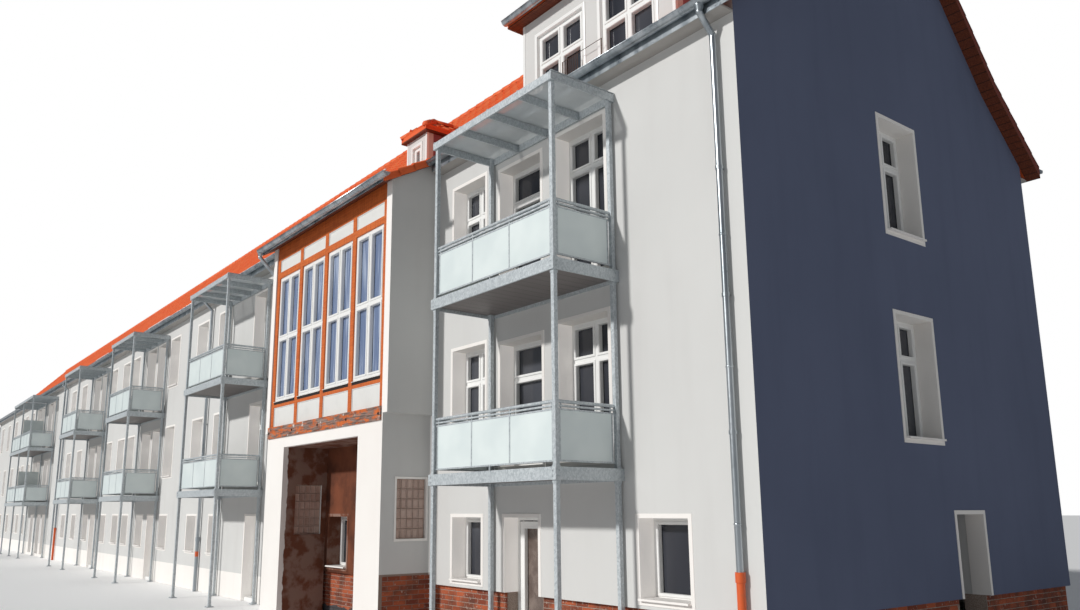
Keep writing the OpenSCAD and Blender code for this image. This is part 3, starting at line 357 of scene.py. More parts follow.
attic, _, attic_colour, attic_grain = render_finish(
    "dormer_render", paint(210, 209, 207), paint(201, 200, 198))
dormer_render = attic.look(attic_colour, None, attic_grain)
print("render finishes:", grey_render.name, blue_render.name, dormer_render.name)

# %% [markdown]
# The piers under the bay are rendered white at the front. Inside the porch they are
# raw, and their outer sides are grey over a bare foot. One finish covers all of it,
# because the piers are one solid: masks on place and direction choose the part.
# %% White render
white, white_tone, smooth_white, white_grain = render_finish(
    "white_render", paint(240, 237, 233), paint(229, 224, 219))
x, y, z = white.place()
# The inner faces of the porch are raw: old plaster and brick behind a ragged edge.
ragged = white.noise(16.0, 4.0, (1.0, 1.0, 0.5)) * 0.05
behind_edge = front_y + BAY_FRONT + 0.03
inside = (x.between(bay_x - PORCH_HALF - 0.005, bay_x + PORCH_HALF + 0.005, 0.001)
          * (y - ragged).ramp(behind_edge, behind_edge + 0.005))
patch = white.noise(6.0, 5.0)
raw = white.blend(patch.ramp(0.42, 0.58), paint(140, 112, 100), paint(112, 68, 50))
# The outer sides of the bay's base are grey like the front, with bare brick at the foot.
aside = (x - bay_x).size().between(BAY_LOWER - 0.015, BAY_LOWER + 0.06, 0.004)
aside = aside * y.below(front_y - 0.004, front_y - 0.002)
side = aside * white.facing()[0].size().ramp(0.6, 0.8)
side_grey = white.blend(white_tone, PALE_GREY, DULL_GREY)
side_grey = white.blend(z.below(BARE_TOP - 0.002, BARE_TOP), side_grey, paint(140, 122, 112))
base = white.blend(side, smooth_white, side_grey)
# The piers' shaded jambs glow faintly too: painted light for the light bounced from the opposite
# jamb.
white.glow(lit_jamb_mask(white, -0.02) * (1.0 - inside), JAMB_LIGHT, JAMB_GLOW)
white_render = white.look(white.blend(inside, base, raw), None, white_grain)
print("finish of the piers:", white_render.name)

# %% [markdown]
# Window frames and doors are white plastic with a slight sheen, the surrounds and
# sills are painted boards. Both gather a little dust in corners, so a broad noise
# dulls them, and a very fine one breaks the highlights.
# %% White joinery


def white_finish(name, colour, roughness, sheen=0.4, jambs=False):
    """Smooth white with faint dust; jambs adds a faint glow on shaded jambs, painted light for the
    light that bounces inside reveals.
    """
    finish = Finish(name, Specular_IOR_Level=sheen)
    if jambs:
        finish.glow(lit_jamb_mask(finish, -0.01), JAMB_LIGHT, JAMB_GLOW)
    dust = finish.noise(4.0, 5.0)
    fine = finish.noise(500.0, 2.0)
    dirty = finish.shade(colour, 0.9)
    spread = dust.ramp(0.4, 0.8) * 0.12 + roughness
    return finish.look(finish.blend(dust.ramp(0.45, 0.85), colour, dirty), spread,
                       (fine, 0.0002, 0.4))


plastic = white_finish("window_plastic", paint(238, 238, 236), 0.28, 0.5)
# The white boards' shaded jambs glow faintly: painted light.
board_white = white_finish("white_boards", paint(240, 236, 232), 0.5, jambs=True)
infill = white_finish("infill_board", paint(219, 219, 216), 0.6, 0.3)
# The boards under the eaves are pale; their darker grey here is painted shade from the eaves.
eave_grey_painted_shade = white_finish("eave_boards_painted_shade", paint(168, 164, 160), 0.6, 0.3)
print("white finishes:", plastic.name, board_white.name, infill.name, eave_grey_painted_shade.name)

# %% [markdown]
# Window glass looks dark from outside by day, because little light comes back from
# the rooms. It is a dark glossy pane with faint paler patches, where blinds and
# furniture would be seen, and the bay's panes show the folds of pale cloth. A clear
# pane would need furnished rooms behind it.
# %% Glass
glass = Finish("window_glass", Roughness=0.06, Specular_IOR_Level=0.45)
room = glass.noise(1.1, 2.0, (1.0, 1.0, 0.6)).ramp(0.35, 0.75)
dark = glass.blend(room, paint(38, 40, 48), paint(78, 80, 86))
folds = glass.noise(30.0, 2.0, (1.0, 1.0, 0.05)).ramp(0.45, 0.7)
bay_blue = glass.blend(folds, paint(106, 122, 154), paint(166, 178, 200))
in_bay = glass.place()[1].below(front_y - 0.325, front_y - 0.225)
window_glass = glass.look(glass.blend(in_bay, dark, bay_blue), None,
                          (glass.noise(2.0, 1.0), 0.004, 0.15))

door_glass = Finish("door_glass", Roughness=0.25, Specular_IOR_Level=0.4)
dusty = door_glass.noise(9.0, 5.0).ramp(0.3, 0.8)
terrace_glass = door_glass.look(
    door_glass.blend(dusty, paint(96, 82, 76), paint(136, 122, 114)),
    dusty * 0.3 + 0.15, (door_glass.noise(3.0, 1.0), 0.003, 0.2))

frost = Finish("frosted_glass", Specular_IOR_Level=0.4)
cloud = frost.noise(3.0, 2.0)
frosted_glass = frost.look(
    frost.blend(cloud.ramp(0.3, 0.7), paint(223, 232, 231), paint(213, 223, 223)),
    cloud * 0.1 + 0.3, (frost.noise(600.0, 1.0), 0.0001, 0.3))

canopy = Finish("canopy_sheet", Roughness=0.3, Specular_IOR_Level=0.3, Alpha=0.6)
film = canopy.noise(3.0, 4.0)
canopy_sheet = canopy.look(
    canopy.blend(film.ramp(0.3, 0.7), paint(222, 228, 230), paint(208, 214, 216)), None,
    (canopy.noise(5.0, 1.0), 0.001, 0.2))

block_glass = Finish("glass_block", Roughness=0.12, Specular_IOR_Level=0.6)
swirl = block_glass.noise(20.0, 3.0)
own = block_glass.attribute("shade")
glass_block = block_glass.look(
    block_glass.blend(own * 0.6 + swirl * 0.4, paint(158, 130, 118), paint(196, 172, 160)),
    None, (swirl, 0.004, 0.5))
print("glass finishes:", window_glass.name, terrace_glass.name, frosted_glass.name,
      canopy_sheet.name, glass_block.name)

# %% [markdown]
# Hot-dip galvanised steel shows spangle: flat crystals a few centimetres wide, each
# with its own grey. Voronoi cells give every crystal one random tone and shine.
# Gutters and pipes are rolled zinc sheet, smoother and shinier, with faint streaks.
# Below, the downpipes end in standpipes of orange plastic.
# %% Metals and pipes
steel = Finish("galvanised_steel", Metallic=0.35)
crystal = steel.cells(90.0, (1.0, 1.0, 0.7))
fleck = steel.cells(220.0)
wear = steel.noise(2.0, 4.0)
tone = crystal * 0.6 + fleck * 0.4
galvanised = steel.look(
    steel.blend(tone.ramp(0.2, 0.8), paint(172, 180, 184), paint(203, 209, 212)),
    tone * 0.25 + wear * 0.2 + 0.3, (tone, 0.0003, 0.4))

zinc = Finish("zinc_sheet", Metallic=0.9)
roll = zinc.noise(9.0, 4.0, (1.0, 1.0, 0.1))
spots = zinc.cells(70.0)
zinc_sheet = zinc.look(
    zinc.blend(roll.ramp(0.3, 0.7), paint(150, 158, 164), paint(196, 202, 206)),
    roll * 0.25 + spots * 0.08 + 0.16, (zinc.noise(40.0, 2.0), 0.0006, 0.3))

GREY_PIPE, SLEEVE_LOW, SLEEVE_HIGH = 10.15, 0.5, 0.57
pipe = Finish("orange_plastic", Specular_IOR_Level=0.5)
x, y, z = pipe.place()
scuff = pipe.noise(14.0, 4.0)
orange = pipe.blend(scuff.ramp(0.55, 0.8), paint(214, 92, 40), paint(190, 98, 62))
# At the second balcony the standpipe is grey apart from one short orange sleeve.
grey_part = (x.between(gable_x - GREY_PIPE - 0.25, gable_x - GREY_PIPE + 0.25, 0.01)
             * (1.0 - z.between(SLEEVE_LOW, SLEEVE_HIGH, 0.004)))
orange_plastic = pipe.look(
    pipe.blend(grey_part, orange, paint(150, 158, 164)),
    scuff * 0.2 + 0.3, (pipe.noise(200.0, 2.0), 0.0004, 0.4))
print("metals and pipes:", galvanised.name, zinc_sheet.name, orange_plastic.name)

# %% [markdown]
# The bay's posts and rails are old oak under an orange-brown stain, and the long sill
# beam is weathered: grain runs along the pieces and the stain has flaked. Grain is a
# noise stretched along the timber. The frame is one solid, so upright and level grain
# are mixed; two kinds of timber would need the frame cut into its pieces.
# %% Wood
# Top of the sill beam, then the lowest and highest point of the painted shade under the bay's
# windows.
BEAM_TOP, SLOT_SHADE_LOW, SLOT_SHADE_TOP = 2.078, 2.336, 2.3735
SOFFIT_BOARD = 0.055


def grain_along(finish, scale, axis):
    """Fibres that run along one axis: noise that changes slowly along it."""
    stretch = [1.0, 1.0, 1.0]
    stretch[axis] = 0.06
    return finish.noise(scale, 5.0, tuple(stretch), 0.65)


wood = Finish("bay_timber", Specular_IOR_Level=0.3)
x, y, z = wood.place()
upright, level = grain_along(wood, 90.0, 2), grain_along(wood, 90.0, 0)
flaked = (wood.noise(24.0, 6.0, (0.25, 1.0, 1.0), 0.7).ramp(0.44, 0.54)
          * z.below(BEAM_TOP - 0.004, BEAM_TOP + 0.004))
light_flake = wood.noise(11.0, 5.0).ramp(0.6, 0.68)
fibre = level * 0.5 + upright * 0.5
stain = wood.blend(fibre.ramp(0.35, 0.7), paint(214, 112, 50), paint(166, 76, 34))
# A nearly black band across each window field, under its sill, is painted shade of the slot there.
first_field = bay_x - BAY_INNER + TIMBER_WIDTH
painted_slot_shade = ((x - first_field).share(FIELD_PITCH).between(0.0, FIELD_WIDTH / FIELD_PITCH, 0.001)
          * z.between(SLOT_SHADE_LOW, SLOT_SHADE_TOP, 0.0005))
bare = wood.blend(level.ramp(0.35, 0.65), paint(150, 128, 118), paint(86, 62, 54))
worn_and_slot_shade = wood.blend(painted_slot_shade, wood.blend(flaked, stain, bare), paint(34, 26, 24))
bay_timber = wood.look(wood.blend(light_flake * flaked, worn_and_slot_shade, paint(206, 196, 188)),
                       fibre * 0.3 + 0.45, (fibre, 0.0015, 0.6))

soffit = Finish("stained_wood", Specular_IOR_Level=0.3)
ring = grain_along(soffit, 110.0, 1)
gap = 1.0 - soffit.place()[1].share(SOFFIT_BOARD).between(0.06, 0.94, 0.04)
stained = soffit.blend(ring.ramp(0.3, 0.7), paint(118, 58, 32), paint(80, 36, 22))
stained_wood = soffit.look(soffit.blend(gap, stained, paint(46, 22, 14)),
                           ring * 0.3 + 0.45, (ring * 0.4 + (1.0 - gap) * 0.6, 0.002, 0.6))
print("woods:", bay_timber.name, stained_wood.name)

# %% [markdown]
# New clay tiles are nearly even in colour, but each one leaves the kiln a little
# lighter or darker. Each tile carries its own random number, which the finish turns
# into a tone; a fine noise gives the fired clay's grain.
# %% Roof clay
clay = Finish("roof_tile_clay", Specular_IOR_Level=0.3)
own = clay.attribute("shade")
bloom = clay.noise(8.0, 4.0)
# The tiles' cut edges over the two gables are dark with mortar and shade.
edge = (clay.facing()[0].size().ramp(0.85, 0.95)
        * clay.place()[0].size().ramp(gable_x, gable_x + 0.05))
fresh = clay.blend(own * 0.6 + bloom * 0.4, paint(222, 92, 46), paint(240, 122, 70))
tile_clay = clay.look(
    clay.blend(edge, fresh, paint(112, 44, 28)),
    bloom * 0.2 + 0.5, (clay.noise(260.0, 3.0), 0.0007, 0.5))
print("roof finish:", tile_clay.name)

# %% [markdown]
# The plinth's old bricks are fired to different tones, grimy in patches and limed where
# mortar was rubbed over them. Their foot still carries a dark sealing coat with a wavy
# edge, and so do the joints, so both finishes use one mask for it.
# %% Brick and mortar
COAT_TOP = 0.2


def coat_mask(finish):
    """1 below the wavy upper edge of the dark coat on the plinth's foot."""
    wavy = finish.place()[2] + finish.noise(7.0, 4.0) * 0.12
    return wavy.below(COAT_TOP, COAT_TOP + 0.015)


fired = Finish("brick_faces", Roughness=0.9, Specular_IOR_Level=0.2)
own = fired.attribute("shade")
rub = fired.noise(45.0, 5.0)
burnt = fired.blend(own, paint(176, 92, 60), paint(122, 62, 46))
grime = fired.noise(5.0, 5.0).ramp(0.42, 0.62)
burnt = fired.blend(grime * 0.6, burnt, paint(74, 58, 52))
limed = fired.blend(rub.ramp(0.6, 0.72), burnt, paint(182, 160, 148))
brick_faces = fired.look(fired.blend(coat_mask(fired), limed, paint(74, 72, 74)), None,
                         (rub, 0.003, 0.8))

joints = Finish("mortar", Roughness=0.95, Specular_IOR_Level=0.15)
sand = joints.noise(150.0, 3.0)
mortar_colour = joints.blend(sand.ramp(0.3, 0.7), paint(176, 160, 148), paint(134, 116, 106))
mortar = joints.look(joints.blend(coat_mask(joints), mortar_colour, paint(70, 68, 70)), None,
                     (sand, 0.002, 0.8))
print("brick finishes:", brick_faces.name, mortar.name)

# %% [markdown]
# Three finishes are left: plain concrete, the mauve boards on the dormers' cheeks and
# the pale boards of the balcony decks. The boards are too many and too thin to model
# one by one, so each pitch of a coordinate gets a dark groove that also sinks as bump.
# %% Concrete and boards
LAP_PITCH, BOARD_PITCH = 0.09, 0.1
slab_mix = Finish("concrete", Roughness=0.85, Specular_IOR_Level=0.2)
pores = slab_mix.noise(60.0, 5.0)
concrete = slab_mix.look(slab_mix.blend(pores.ramp(0.3, 0.7), paint(150, 146, 140),
                                        paint(122, 117, 111)), None, (pores, 0.002, 0.6))

cladding = Finish("dormer_cladding", Specular_IOR_Level=0.4)
groove = 1.0 - cladding.place()[2].share(LAP_PITCH).between(0.05, 0.95, 0.04)
haze = cladding.noise(6.0, 4.0)
mauve = cladding.blend(haze.ramp(0.3, 0.7), paint(158, 104, 110), paint(140, 90, 97))
cheek_cladding = cladding.look(cladding.blend(groove, mauve, paint(84, 54, 60)),
                               haze * 0.2 + 0.45, (1.0 - groove, 0.002, 0.7))

planks = Finish("deck_boards", Specular_IOR_Level=0.3)
seam = 1.0 - planks.place()[0].share(BOARD_PITCH).between(0.04, 0.96, 0.03)
sheen = planks.noise(12.0, 4.0, (1.0, 0.2, 1.0))
grey = planks.blend(sheen.ramp(0.3, 0.7), paint(176, 174, 170), paint(156, 154, 151))
# The undersides of the decks are painted darker than their tops: painted shade.
grey = planks.blend(planks.facing()[2].ramp(-0.9, -0.7), paint(118, 112, 110), grey)
deck_boards = planks.look(planks.blend(seam, grey, paint(80, 78, 76)), sheen * 0.2 + 0.4,
                          (1.0 - seam, 0.003, 0.7))
print("finishes of stone and boards:", concrete.name, cheek_cladding.name, deck_boards.name)

# %% [markdown]
# Every solid of the frame names a material slot. One table says which finish each slot
# gets; the panes of the hinged doors differ from the others of their slot, because they
# look different on the real block; the boards under the eaves get a darker grey, which is painted
# shade.
# %% Finishes on the solids
FINISHES = {
    "concrete": concrete, "brick": mortar, "white_render": white_render,
    "render": grey_render, "blue_render": blue_render, "dormer_render": dormer_render,
    "white_metal": board_white, "window_plastic": plastic, "window_glass": window_glass,
    "timber": bay_timber, "infill": infill, "roof_tiles": tile_clay,
    "stained_wood": stained_wood, "cheek_cladding": cheek_cladding,
    "glass_blocks": glass_block, "zinc": zinc_sheet, "orange_plastic": orange_plastic,
    "galvanized": galvanised, "deck_boards": deck_boards, "frosted_glass": frosted_glass,
    "canopy_sheet": canopy_sheet,
}
for part in frame["record"]["subparts"]:
    own_slots = nodes[part["node"]].data.materials
    chosen = FINISHES[part["material_slot"]]
    if "terrace_door_" in part["node"] and part["node"].endswith("_glass"):
        chosen = terrace_glass
    if part["node"] == "eave_boards":
        chosen = eave_grey_painted_shade
    for i in range(max(1, len(own_slots))):
        if i < len(own_slots):
            own_slots[i] = chosen
        else:
            own_slots.append(chosen)
print("finishes:", len(FINISHES))

# %% [markdown]
# Every added part is a mesh worked out from whole arrays of numbers, which is quick and
# exact, where modelling by hand would take a step for each of thousands of small parts.
# The first functions join a grid of points into faces, and copy one small shape to
# many places at once.
# %% Nets and copies
rng = np.random.default_rng(34)
UP = np.array([0.0, 0.0, 1.0])


def net(rows, columns, round_rows=False, round_columns=False):
    """Quads of a grid of points numbered row by row, closed round where asked."""
    r = np.arange(rows if round_rows else rows - 1)
    c = np.arange(columns if round_columns else columns - 1)
    r, c = np.meshgrid(r, c, indexing="ij")
    r_next, c_next = (r + 1) % rows, (c + 1) % columns
    corners = [r * columns + c, r * columns + c_next,
               r_next * columns + c_next, r_next * columns + c]
    return np.stack(corners, axis=-1).reshape(-1, 4)


def copies(points, faces, axes, places):
    """A small shape at many places: each copy's point is place + axes times point.

    points is p by 3, faces a list of index arrays, axes n by 3 by 3 with the copy's
    own scaled directions as columns, and places n by 3.
    """
    spread = np.einsum("nij,pj->npi", axes, points) + places[:, None]
    start = (np.arange(len(places)) * len(points))[:, None, None]
    moved = [(f[None] + start).reshape(-1, f.shape[1]) for f in faces]
    return spread.reshape(-1, 3), moved


def joined(parts):
    """Points and faces of several parts as one."""
    starts = np.cumsum([0] + [len(points) for points, _ in parts])
    faces = [f + start for (_, part), start in zip(parts, starts) for f in part]
    return np.concatenate([points for points, _ in parts]), faces


print("faces of a net of 3 by 4 points:", len(net(3, 4)))

# %% [markdown]
# Posts, rails, beads and strips are all bars with one section, so they share a function.
# It needs two directions square to each bar, and an outline round or flat. Bevelled
# corners catch light as those of real metal and timber do.
# %% Rods


def directions(ahead):
    """Side and upper directions square to many directions ahead, all of unit length."""
    guide = np.where(np.abs(ahead[:, 2:]) > 0.9, np.array([[1.0, 0.0, 0.0]]), UP[None])
    side = np.cross(ahead, guide)
    side /= np.linalg.norm(side, axis=1, keepdims=True)
    return side, np.cross(side, ahead)


def rods(starts, ends, outline):
    """Straight bars between many pairs of points, with one closed outline.

    The outline is k by 2, along the bar's side and upper directions, anticlockwise
    when looking along the bar; both ends are closed.
    """
    starts, ends = np.atleast_2d(starts), np.atleast_2d(ends)
    ahead = ends - starts
    length = np.linalg.norm(ahead, axis=1, keepdims=True)
    side, upper = directions(ahead / length)
    k = len(outline)
    rings = np.concatenate([np.column_stack([np.full(k, t), outline]) for t in (0.0, 1.0)])
    walls = net(2, k, round_columns=True)
    caps = np.array([np.arange(k)[::-1], np.arange(k) + k])
    axes = np.stack([ahead, side, upper], axis=2)
    return copies(rings, [walls, caps], axes, starts)


def round_outline(radius, count=10):
    """A circle as count points."""
    turn = np.arange(count) * 2 * np.pi / count
    return radius * np.column_stack([np.cos(turn), np.sin(turn)])


def flat_outline(width, height, bevel):
    """A rectangle with bevelled corners as eight points."""
    a, b = width / 2, height / 2
    return np.array([[a, -b + bevel], [a, b - bevel], [a - bevel, b], [-a + bevel, b],
                     [-a, b - bevel], [-a, -b + bevel], [-a + bevel, -b], [a - bevel, -b]])


print("points of a flat bar's section:", len(flat_outline(0.02, 0.01, 0.001)))


def put(name, shape, finish, body="block", shade=None, smooth=False):
    """Makes one piece of points and faces; shade is a number for each face.

    No point is left outside the box of the solids.
    """
    points, faces = shape
    points = np.clip(points, start_box[0], start_box[1])
    mesh = bpy.data.meshes.new(name)
    sizes = np.concatenate([np.full(len(f), f.shape[1]) for f in faces])
    order = np.concatenate([f.ravel() for f in faces])
    used, order = np.unique(order, return_inverse=True)
    mesh.vertices.add(len(used))
    mesh.vertices.foreach_set("co", points[used].astype(np.float32).ravel())
    mesh.loops.add(len(order))
    mesh.loops.foreach_set("vertex_index", order.astype(np.int32).ravel())
    mesh.polygons.add(len(sizes))
    first = np.concatenate([[0], np.cumsum(sizes)[:-1]])
    mesh.polygons.foreach_set("loop_start", first.astype(np.int32))
    mesh.polygons.foreach_set("use_smooth", np.full(len(sizes), smooth))
    mesh.update(calc_edges=True)
    if shade is not None:
        tone = mesh.attributes.new("shade", "FLOAT", "FACE")
        tone.data.foreach_set("value", np.asarray(shade, np.float32))
    mesh.materials.append(finish)
    piece = bpy.data.objects.new(name, mesh)
    bpy.context.scene.collection.objects.link(piece)
    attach(piece, body)
    print(f"{name}: {int((sizes - 2).sum())} triangles")
    return piece


print("corners that hold every piece:", [[round(v, 2) for v in c] for c in start_box])

# %% [markdown]
# The roof is laid with new interlocking clay tiles. Each has a flat pan and a roll at
# one side, and its tail rides on the tile below. The surface is one net per slope: the
# columns follow pan and roll, the rows climb in steps, and each tile sits a fraction
# of a millimetre off its neighbours. Separate tiles would need many times the faces.
# %% A tiled slope
MM = 0.001
TILE_PITCH, TILE_SPREAD = 0.15, 0.5 * MM
TAIL_LIFT, HEAD_LIFT, SINK = 0.014, 0.003, 0.006
# Rolls as shares of a tile's width and heights in millimetres.
ROLL_FINE = np.array([[0, 0], [0.07, 6.5], [0.18, 11], [0.29, 6.5], [0.36, 0], [0.68, -1.4]])
ROLL_PLAIN = np.array([[0, 0], [0.18, 11], [0.36, 0], [0.68, -1.4]])


def tile_field(name, corner, across, climb, length, path, courses, keep=None, roll=ROLL_FINE):
    """Tiled slope from a corner: across is the way along the eaves, climb the level way up.

    path lists run and rise from the eaves to the top, courses the number of courses on
    each stretch of it. A point is corner + across * a + climb * run + up * rise, moved
    out along the slope's normal by the tile's step and its roll.
    """
    run, rise, step, out_run, out_rise, course = [], [], [], [], [], []
    total = 0
    for (r0, z0), (r1, z1), count in zip(path[:-1], path[1:], courses):
        share = np.repeat(np.arange(count + 1) / count, 2)[1:-1]
        run.append(r0 + (r1 - r0) * share)
        rise.append(z0 + (z1 - z0) * share)
        step.append(np.tile([TAIL_LIFT, HEAD_LIFT], count))
        slant = math.hypot(r1 - r0, z1 - z0)
        out_run.append(np.full(2 * count, -(z1 - z0) / slant))
        out_rise.append(np.full(2 * count, (r1 - r0) / slant))
        course.append(total + np.repeat(np.arange(count), 2))
        total += count
    run, rise, step, out_run, out_rise, course = (
        np.concatenate([v[0][:1], *v]) for v in (run, rise, step, out_run, out_rise, course))
    tiles = max(1, round(length / TILE_PITCH))
    a = ((np.arange(tiles)[:, None] + roll[:, 0]) * (length / tiles)).ravel()
    tile = np.repeat(np.arange(tiles), len(roll))
    a = np.concatenate([[0.0], a, [length, length]])
    wave = np.concatenate([[0.0], np.tile(roll[:, 1] * MM, tiles), [0.0, 0.0]])
    tile = np.concatenate([[0], tile, [tiles - 1, tiles - 1]])
    loose = rng.normal(0.0, TILE_SPREAD, (total, tiles))[course[:, None], tile[None]]
    lift = step[:, None] + wave[None] + loose
    lift[0, :] = lift[:, 0] = lift[:, -1] = -SINK
    points = (corner + a[None, :, None] * across
              + (run[:, None] + out_run[:, None] * lift)[..., None] * climb
              + (rise[:, None] + out_rise[:, None] * lift)[..., None] * UP)
    rows, columns = lift.shape
    quads = net(rows, columns)
    points = points.reshape(-1, 3)
    tone = rng.random((total, tiles))[course[1:, None], tile[None, :-1]].ravel()
    if np.cross(across, climb)[2] < 0:
        quads = quads[:, ::-1]
    if keep is not None:
        kept = keep(points[quads].mean(axis=1))
        quads, tone = quads[kept], tone[kept]
    return put(name, (points, [quads]), tile_clay, shade=tone)


print("points across a tile:", len(ROLL_FINE), "near the viewer and", len(ROLL_PLAIN), "behind")

# %% [markdown]
# The tiles have to lie on the solid roof and stop where the bay and the dormers cut it.
# So the roof's lines are written once, as heights and slopes, and the functions below
# give the height of the slope at a depth and the depth at a height.
# %% Lines of the roof


def set_out(points):
    """Distance along the block, depth and height of points in the frame."""
    return (BLOCK_LENGTH / 2 - points[:, 0], points[:, 1] + BLOCK_DEPTH / 2, points[:, 2])


# The main roof: what it stands out past gables and walls, its thickness, and the flatter
# kick at the foot of each slope, above which the slope is steep.
VERGE, EAVE, ROOF_TOP = 0.12, 0.125, 0.085
KICK_RUN, KICK_SLOPE = 0.625, 0.86
FRONT_EAVE, REAR_EAVE, RIDGE = 4.48, 4.30, 6.54
RIDGE_DEPTH = BLOCK_DEPTH / 2
FRONT_BREAK = FRONT_EAVE + KICK_RUN * KICK_SLOPE
MAIN_SLOPE = (RIDGE - FRONT_BREAK) / (RIDGE_DEPTH - KICK_RUN)
FRONT_COURSES, REAR_COURSES, BAY_COURSES = [6, 13], [6, 14], [4]
BAY_ROOF_HALF, BAY_EAVE, BAY_SLOPE = BAY_HALF + 0.05, BAY_FRONT - 0.125, 0.56
# The dormers: the middle, half the width, the front's depth, the height of the eaves and
# what the roof stands out, then each window's width, its lower edge and its upper edge.
WIDE = {"s": 1.36, "half": 0.875, "front": 0.0, "eaves": 5.325, "out": 0.1,
        "window": (0.58, 4.565, 5.13), "windows": (-0.392, 0.392)}
SMALL = {"s": 4.42, "half": 0.205, "front": 0.23, "eaves": 5.14, "out": 0.05,
         "window": (0.165, 4.76, 5.025), "windows": (0.0,)}
DORMER_SLOPE, DORMER_EDGE, TILE_MARGIN = 0.72, 0.04, 0.012
LEFT, RIGHT = np.array([-1.0, 0.0, 0.0]), np.array([1.0, 0.0, 0.0])
BACK, FRONT = np.array([0.0, 1.0, 0.0]), np.array([0.0, -1.0, 0.0])


def main_top(depth):
    """Height of the front slope's surface at a depth."""
    kick = FRONT_EAVE + depth * KICK_SLOPE
    main = FRONT_BREAK + (depth - KICK_RUN) * MAIN_SLOPE
    return np.where(depth < KICK_RUN, kick, main) + ROOF_TOP


def depth_at(height):
    """Depth at which the front slope's surface reaches a height above its break."""
    return KICK_RUN + (height - FRONT_BREAK - ROOF_TOP) / MAIN_SLOPE


def slope_path(eave):
    """Run and rise of a slope from its eaves to the ridge."""
    low = eave - EAVE * KICK_SLOPE
    return [(0.0, 0.0), (EAVE + KICK_RUN, eave + KICK_RUN * KICK_SLOPE - low),
            (EAVE + RIDGE_DEPTH, RIDGE - low)]


def open_roof(points):
    """True where the front slope isn't cut by the bay's roof or a dormer."""
    s, depth, _ = set_out(points)
    kept = ~((depth < 0) & (np.abs(s - BAY) < BAY_ROOF_HALF))
    for d in (WIDE, SMALL):
        inside = np.abs(s - d["s"]) < d["half"] - 0.03
        kept &= ~(inside & (depth > d["front"] + 0.02) & (depth < depth_at(d["eaves"])))
    return kept


print("height of the front slope over the wall:", round(float(main_top(0.0)), 3))

# %% [markdown]
# Now the slopes are tiled: the long front and rear slopes and the roof of the bay. Quads
# of the front slope that would lie inside a dormer are left out. The rear slope has a
# plainer roll, because it is seen less closely.
# %% Main roof and bay roof
eave_low = EAVE * KICK_SLOPE - ROOF_TOP
tile_field("front_slope_tiles", spot(-VERGE, -EAVE, FRONT_EAVE - eave_low), LEFT, BACK,
           BLOCK_LENGTH + 2 * VERGE, slope_path(FRONT_EAVE), FRONT_COURSES, open_roof)
tile_field("rear_slope_tiles", spot(-VERGE, BLOCK_DEPTH + EAVE, REAR_EAVE - eave_low), LEFT,
           FRONT, BLOCK_LENGTH + 2 * VERGE, slope_path(REAR_EAVE), REAR_COURSES, None,
           ROLL_PLAIN)
bay_rise = -BAY_EAVE * BAY_SLOPE
bay_low = float(main_top(0.0)) - bay_rise
bay_path = [(0.0, 0.0), (-BAY_EAVE, bay_rise)]
tile_field("bay_roof_tiles", spot(BAY - BAY_ROOF_HALF, BAY_EAVE, bay_low), LEFT, BACK,
           2 * BAY_ROOF_HALF, bay_path, BAY_COURSES)

# %% [markdown]
# Each dormer has a hipped roof of three slopes. Each slope is a whole rectangle of tiles
# that is cut where it meets the next one at a hip, and where it dives into the main
# roof. Cutting by whole quads is enough, because caps cover the hips.
# %% Dormer roofs


def dormer_tiles(name, d, courses):
    """Tiles of a hipped dormer: the front hip and both sides, ending at the main roof."""
    half = d["half"] + d["out"]
    y0, z0, rise = d["front"] - d["out"], d["eaves"] + DORMER_EDGE, half * DORMER_SLOPE
    path = [(0.0, 0.0), (half, rise)]

    def on_front(points):
        s, depth, _ = set_out(points)
        return np.abs(s - d["s"]) < half - (depth - y0) + TILE_MARGIN

    def on_side(points):
        s, depth, height = set_out(points)
        climbed = half - np.abs(s - d["s"])
        return (depth - y0 > climbed - TILE_MARGIN) & (height > main_top(depth) - TILE_MARGIN)

    length = depth_at(z0 + rise) - y0
    tile_field(name + "_front_tiles", spot(d["s"] - half, y0, z0), LEFT, BACK, 2 * half, path,
               [courses], on_front)
    tile_field(name + "_near_tiles", spot(d["s"] - half, y0, z0), BACK, LEFT, length, path,
               [courses], on_side)
    tile_field(name + "_far_tiles", spot(d["s"] + half, y0, z0), BACK, RIGHT, length, path,
               [courses], on_side)


dormer_tiles("wide_dormer", WIDE, 7)
dormer_tiles("small_dormer", SMALL, 2)

# %% [markdown]
# Half-round caps cover the ridge and the dormers' hips. Each cap is a little wider at
# one end and laps over the next one, so the line of caps has a step every 200 mm.
# They stand for the smooth ridge of the solids.
# %% Ridge caps
CAP_PITCH, CAP_LAP, CAP_SINK = 0.2, 1.08, 0.0217
RIDGE_RADIUS, HIP_RADIUS = 0.06, 0.046
CAP_RINGS = [(0.0, 0.1), (0.0, 0.86), (CAP_LAP, 1.0), (CAP_LAP, 0.8)]
CAP_ANGLES = np.radians(np.linspace(-12, 192, 11))
CAP_FACES = (len(CAP_RINGS) - 1) * (len(CAP_ANGLES) - 1)


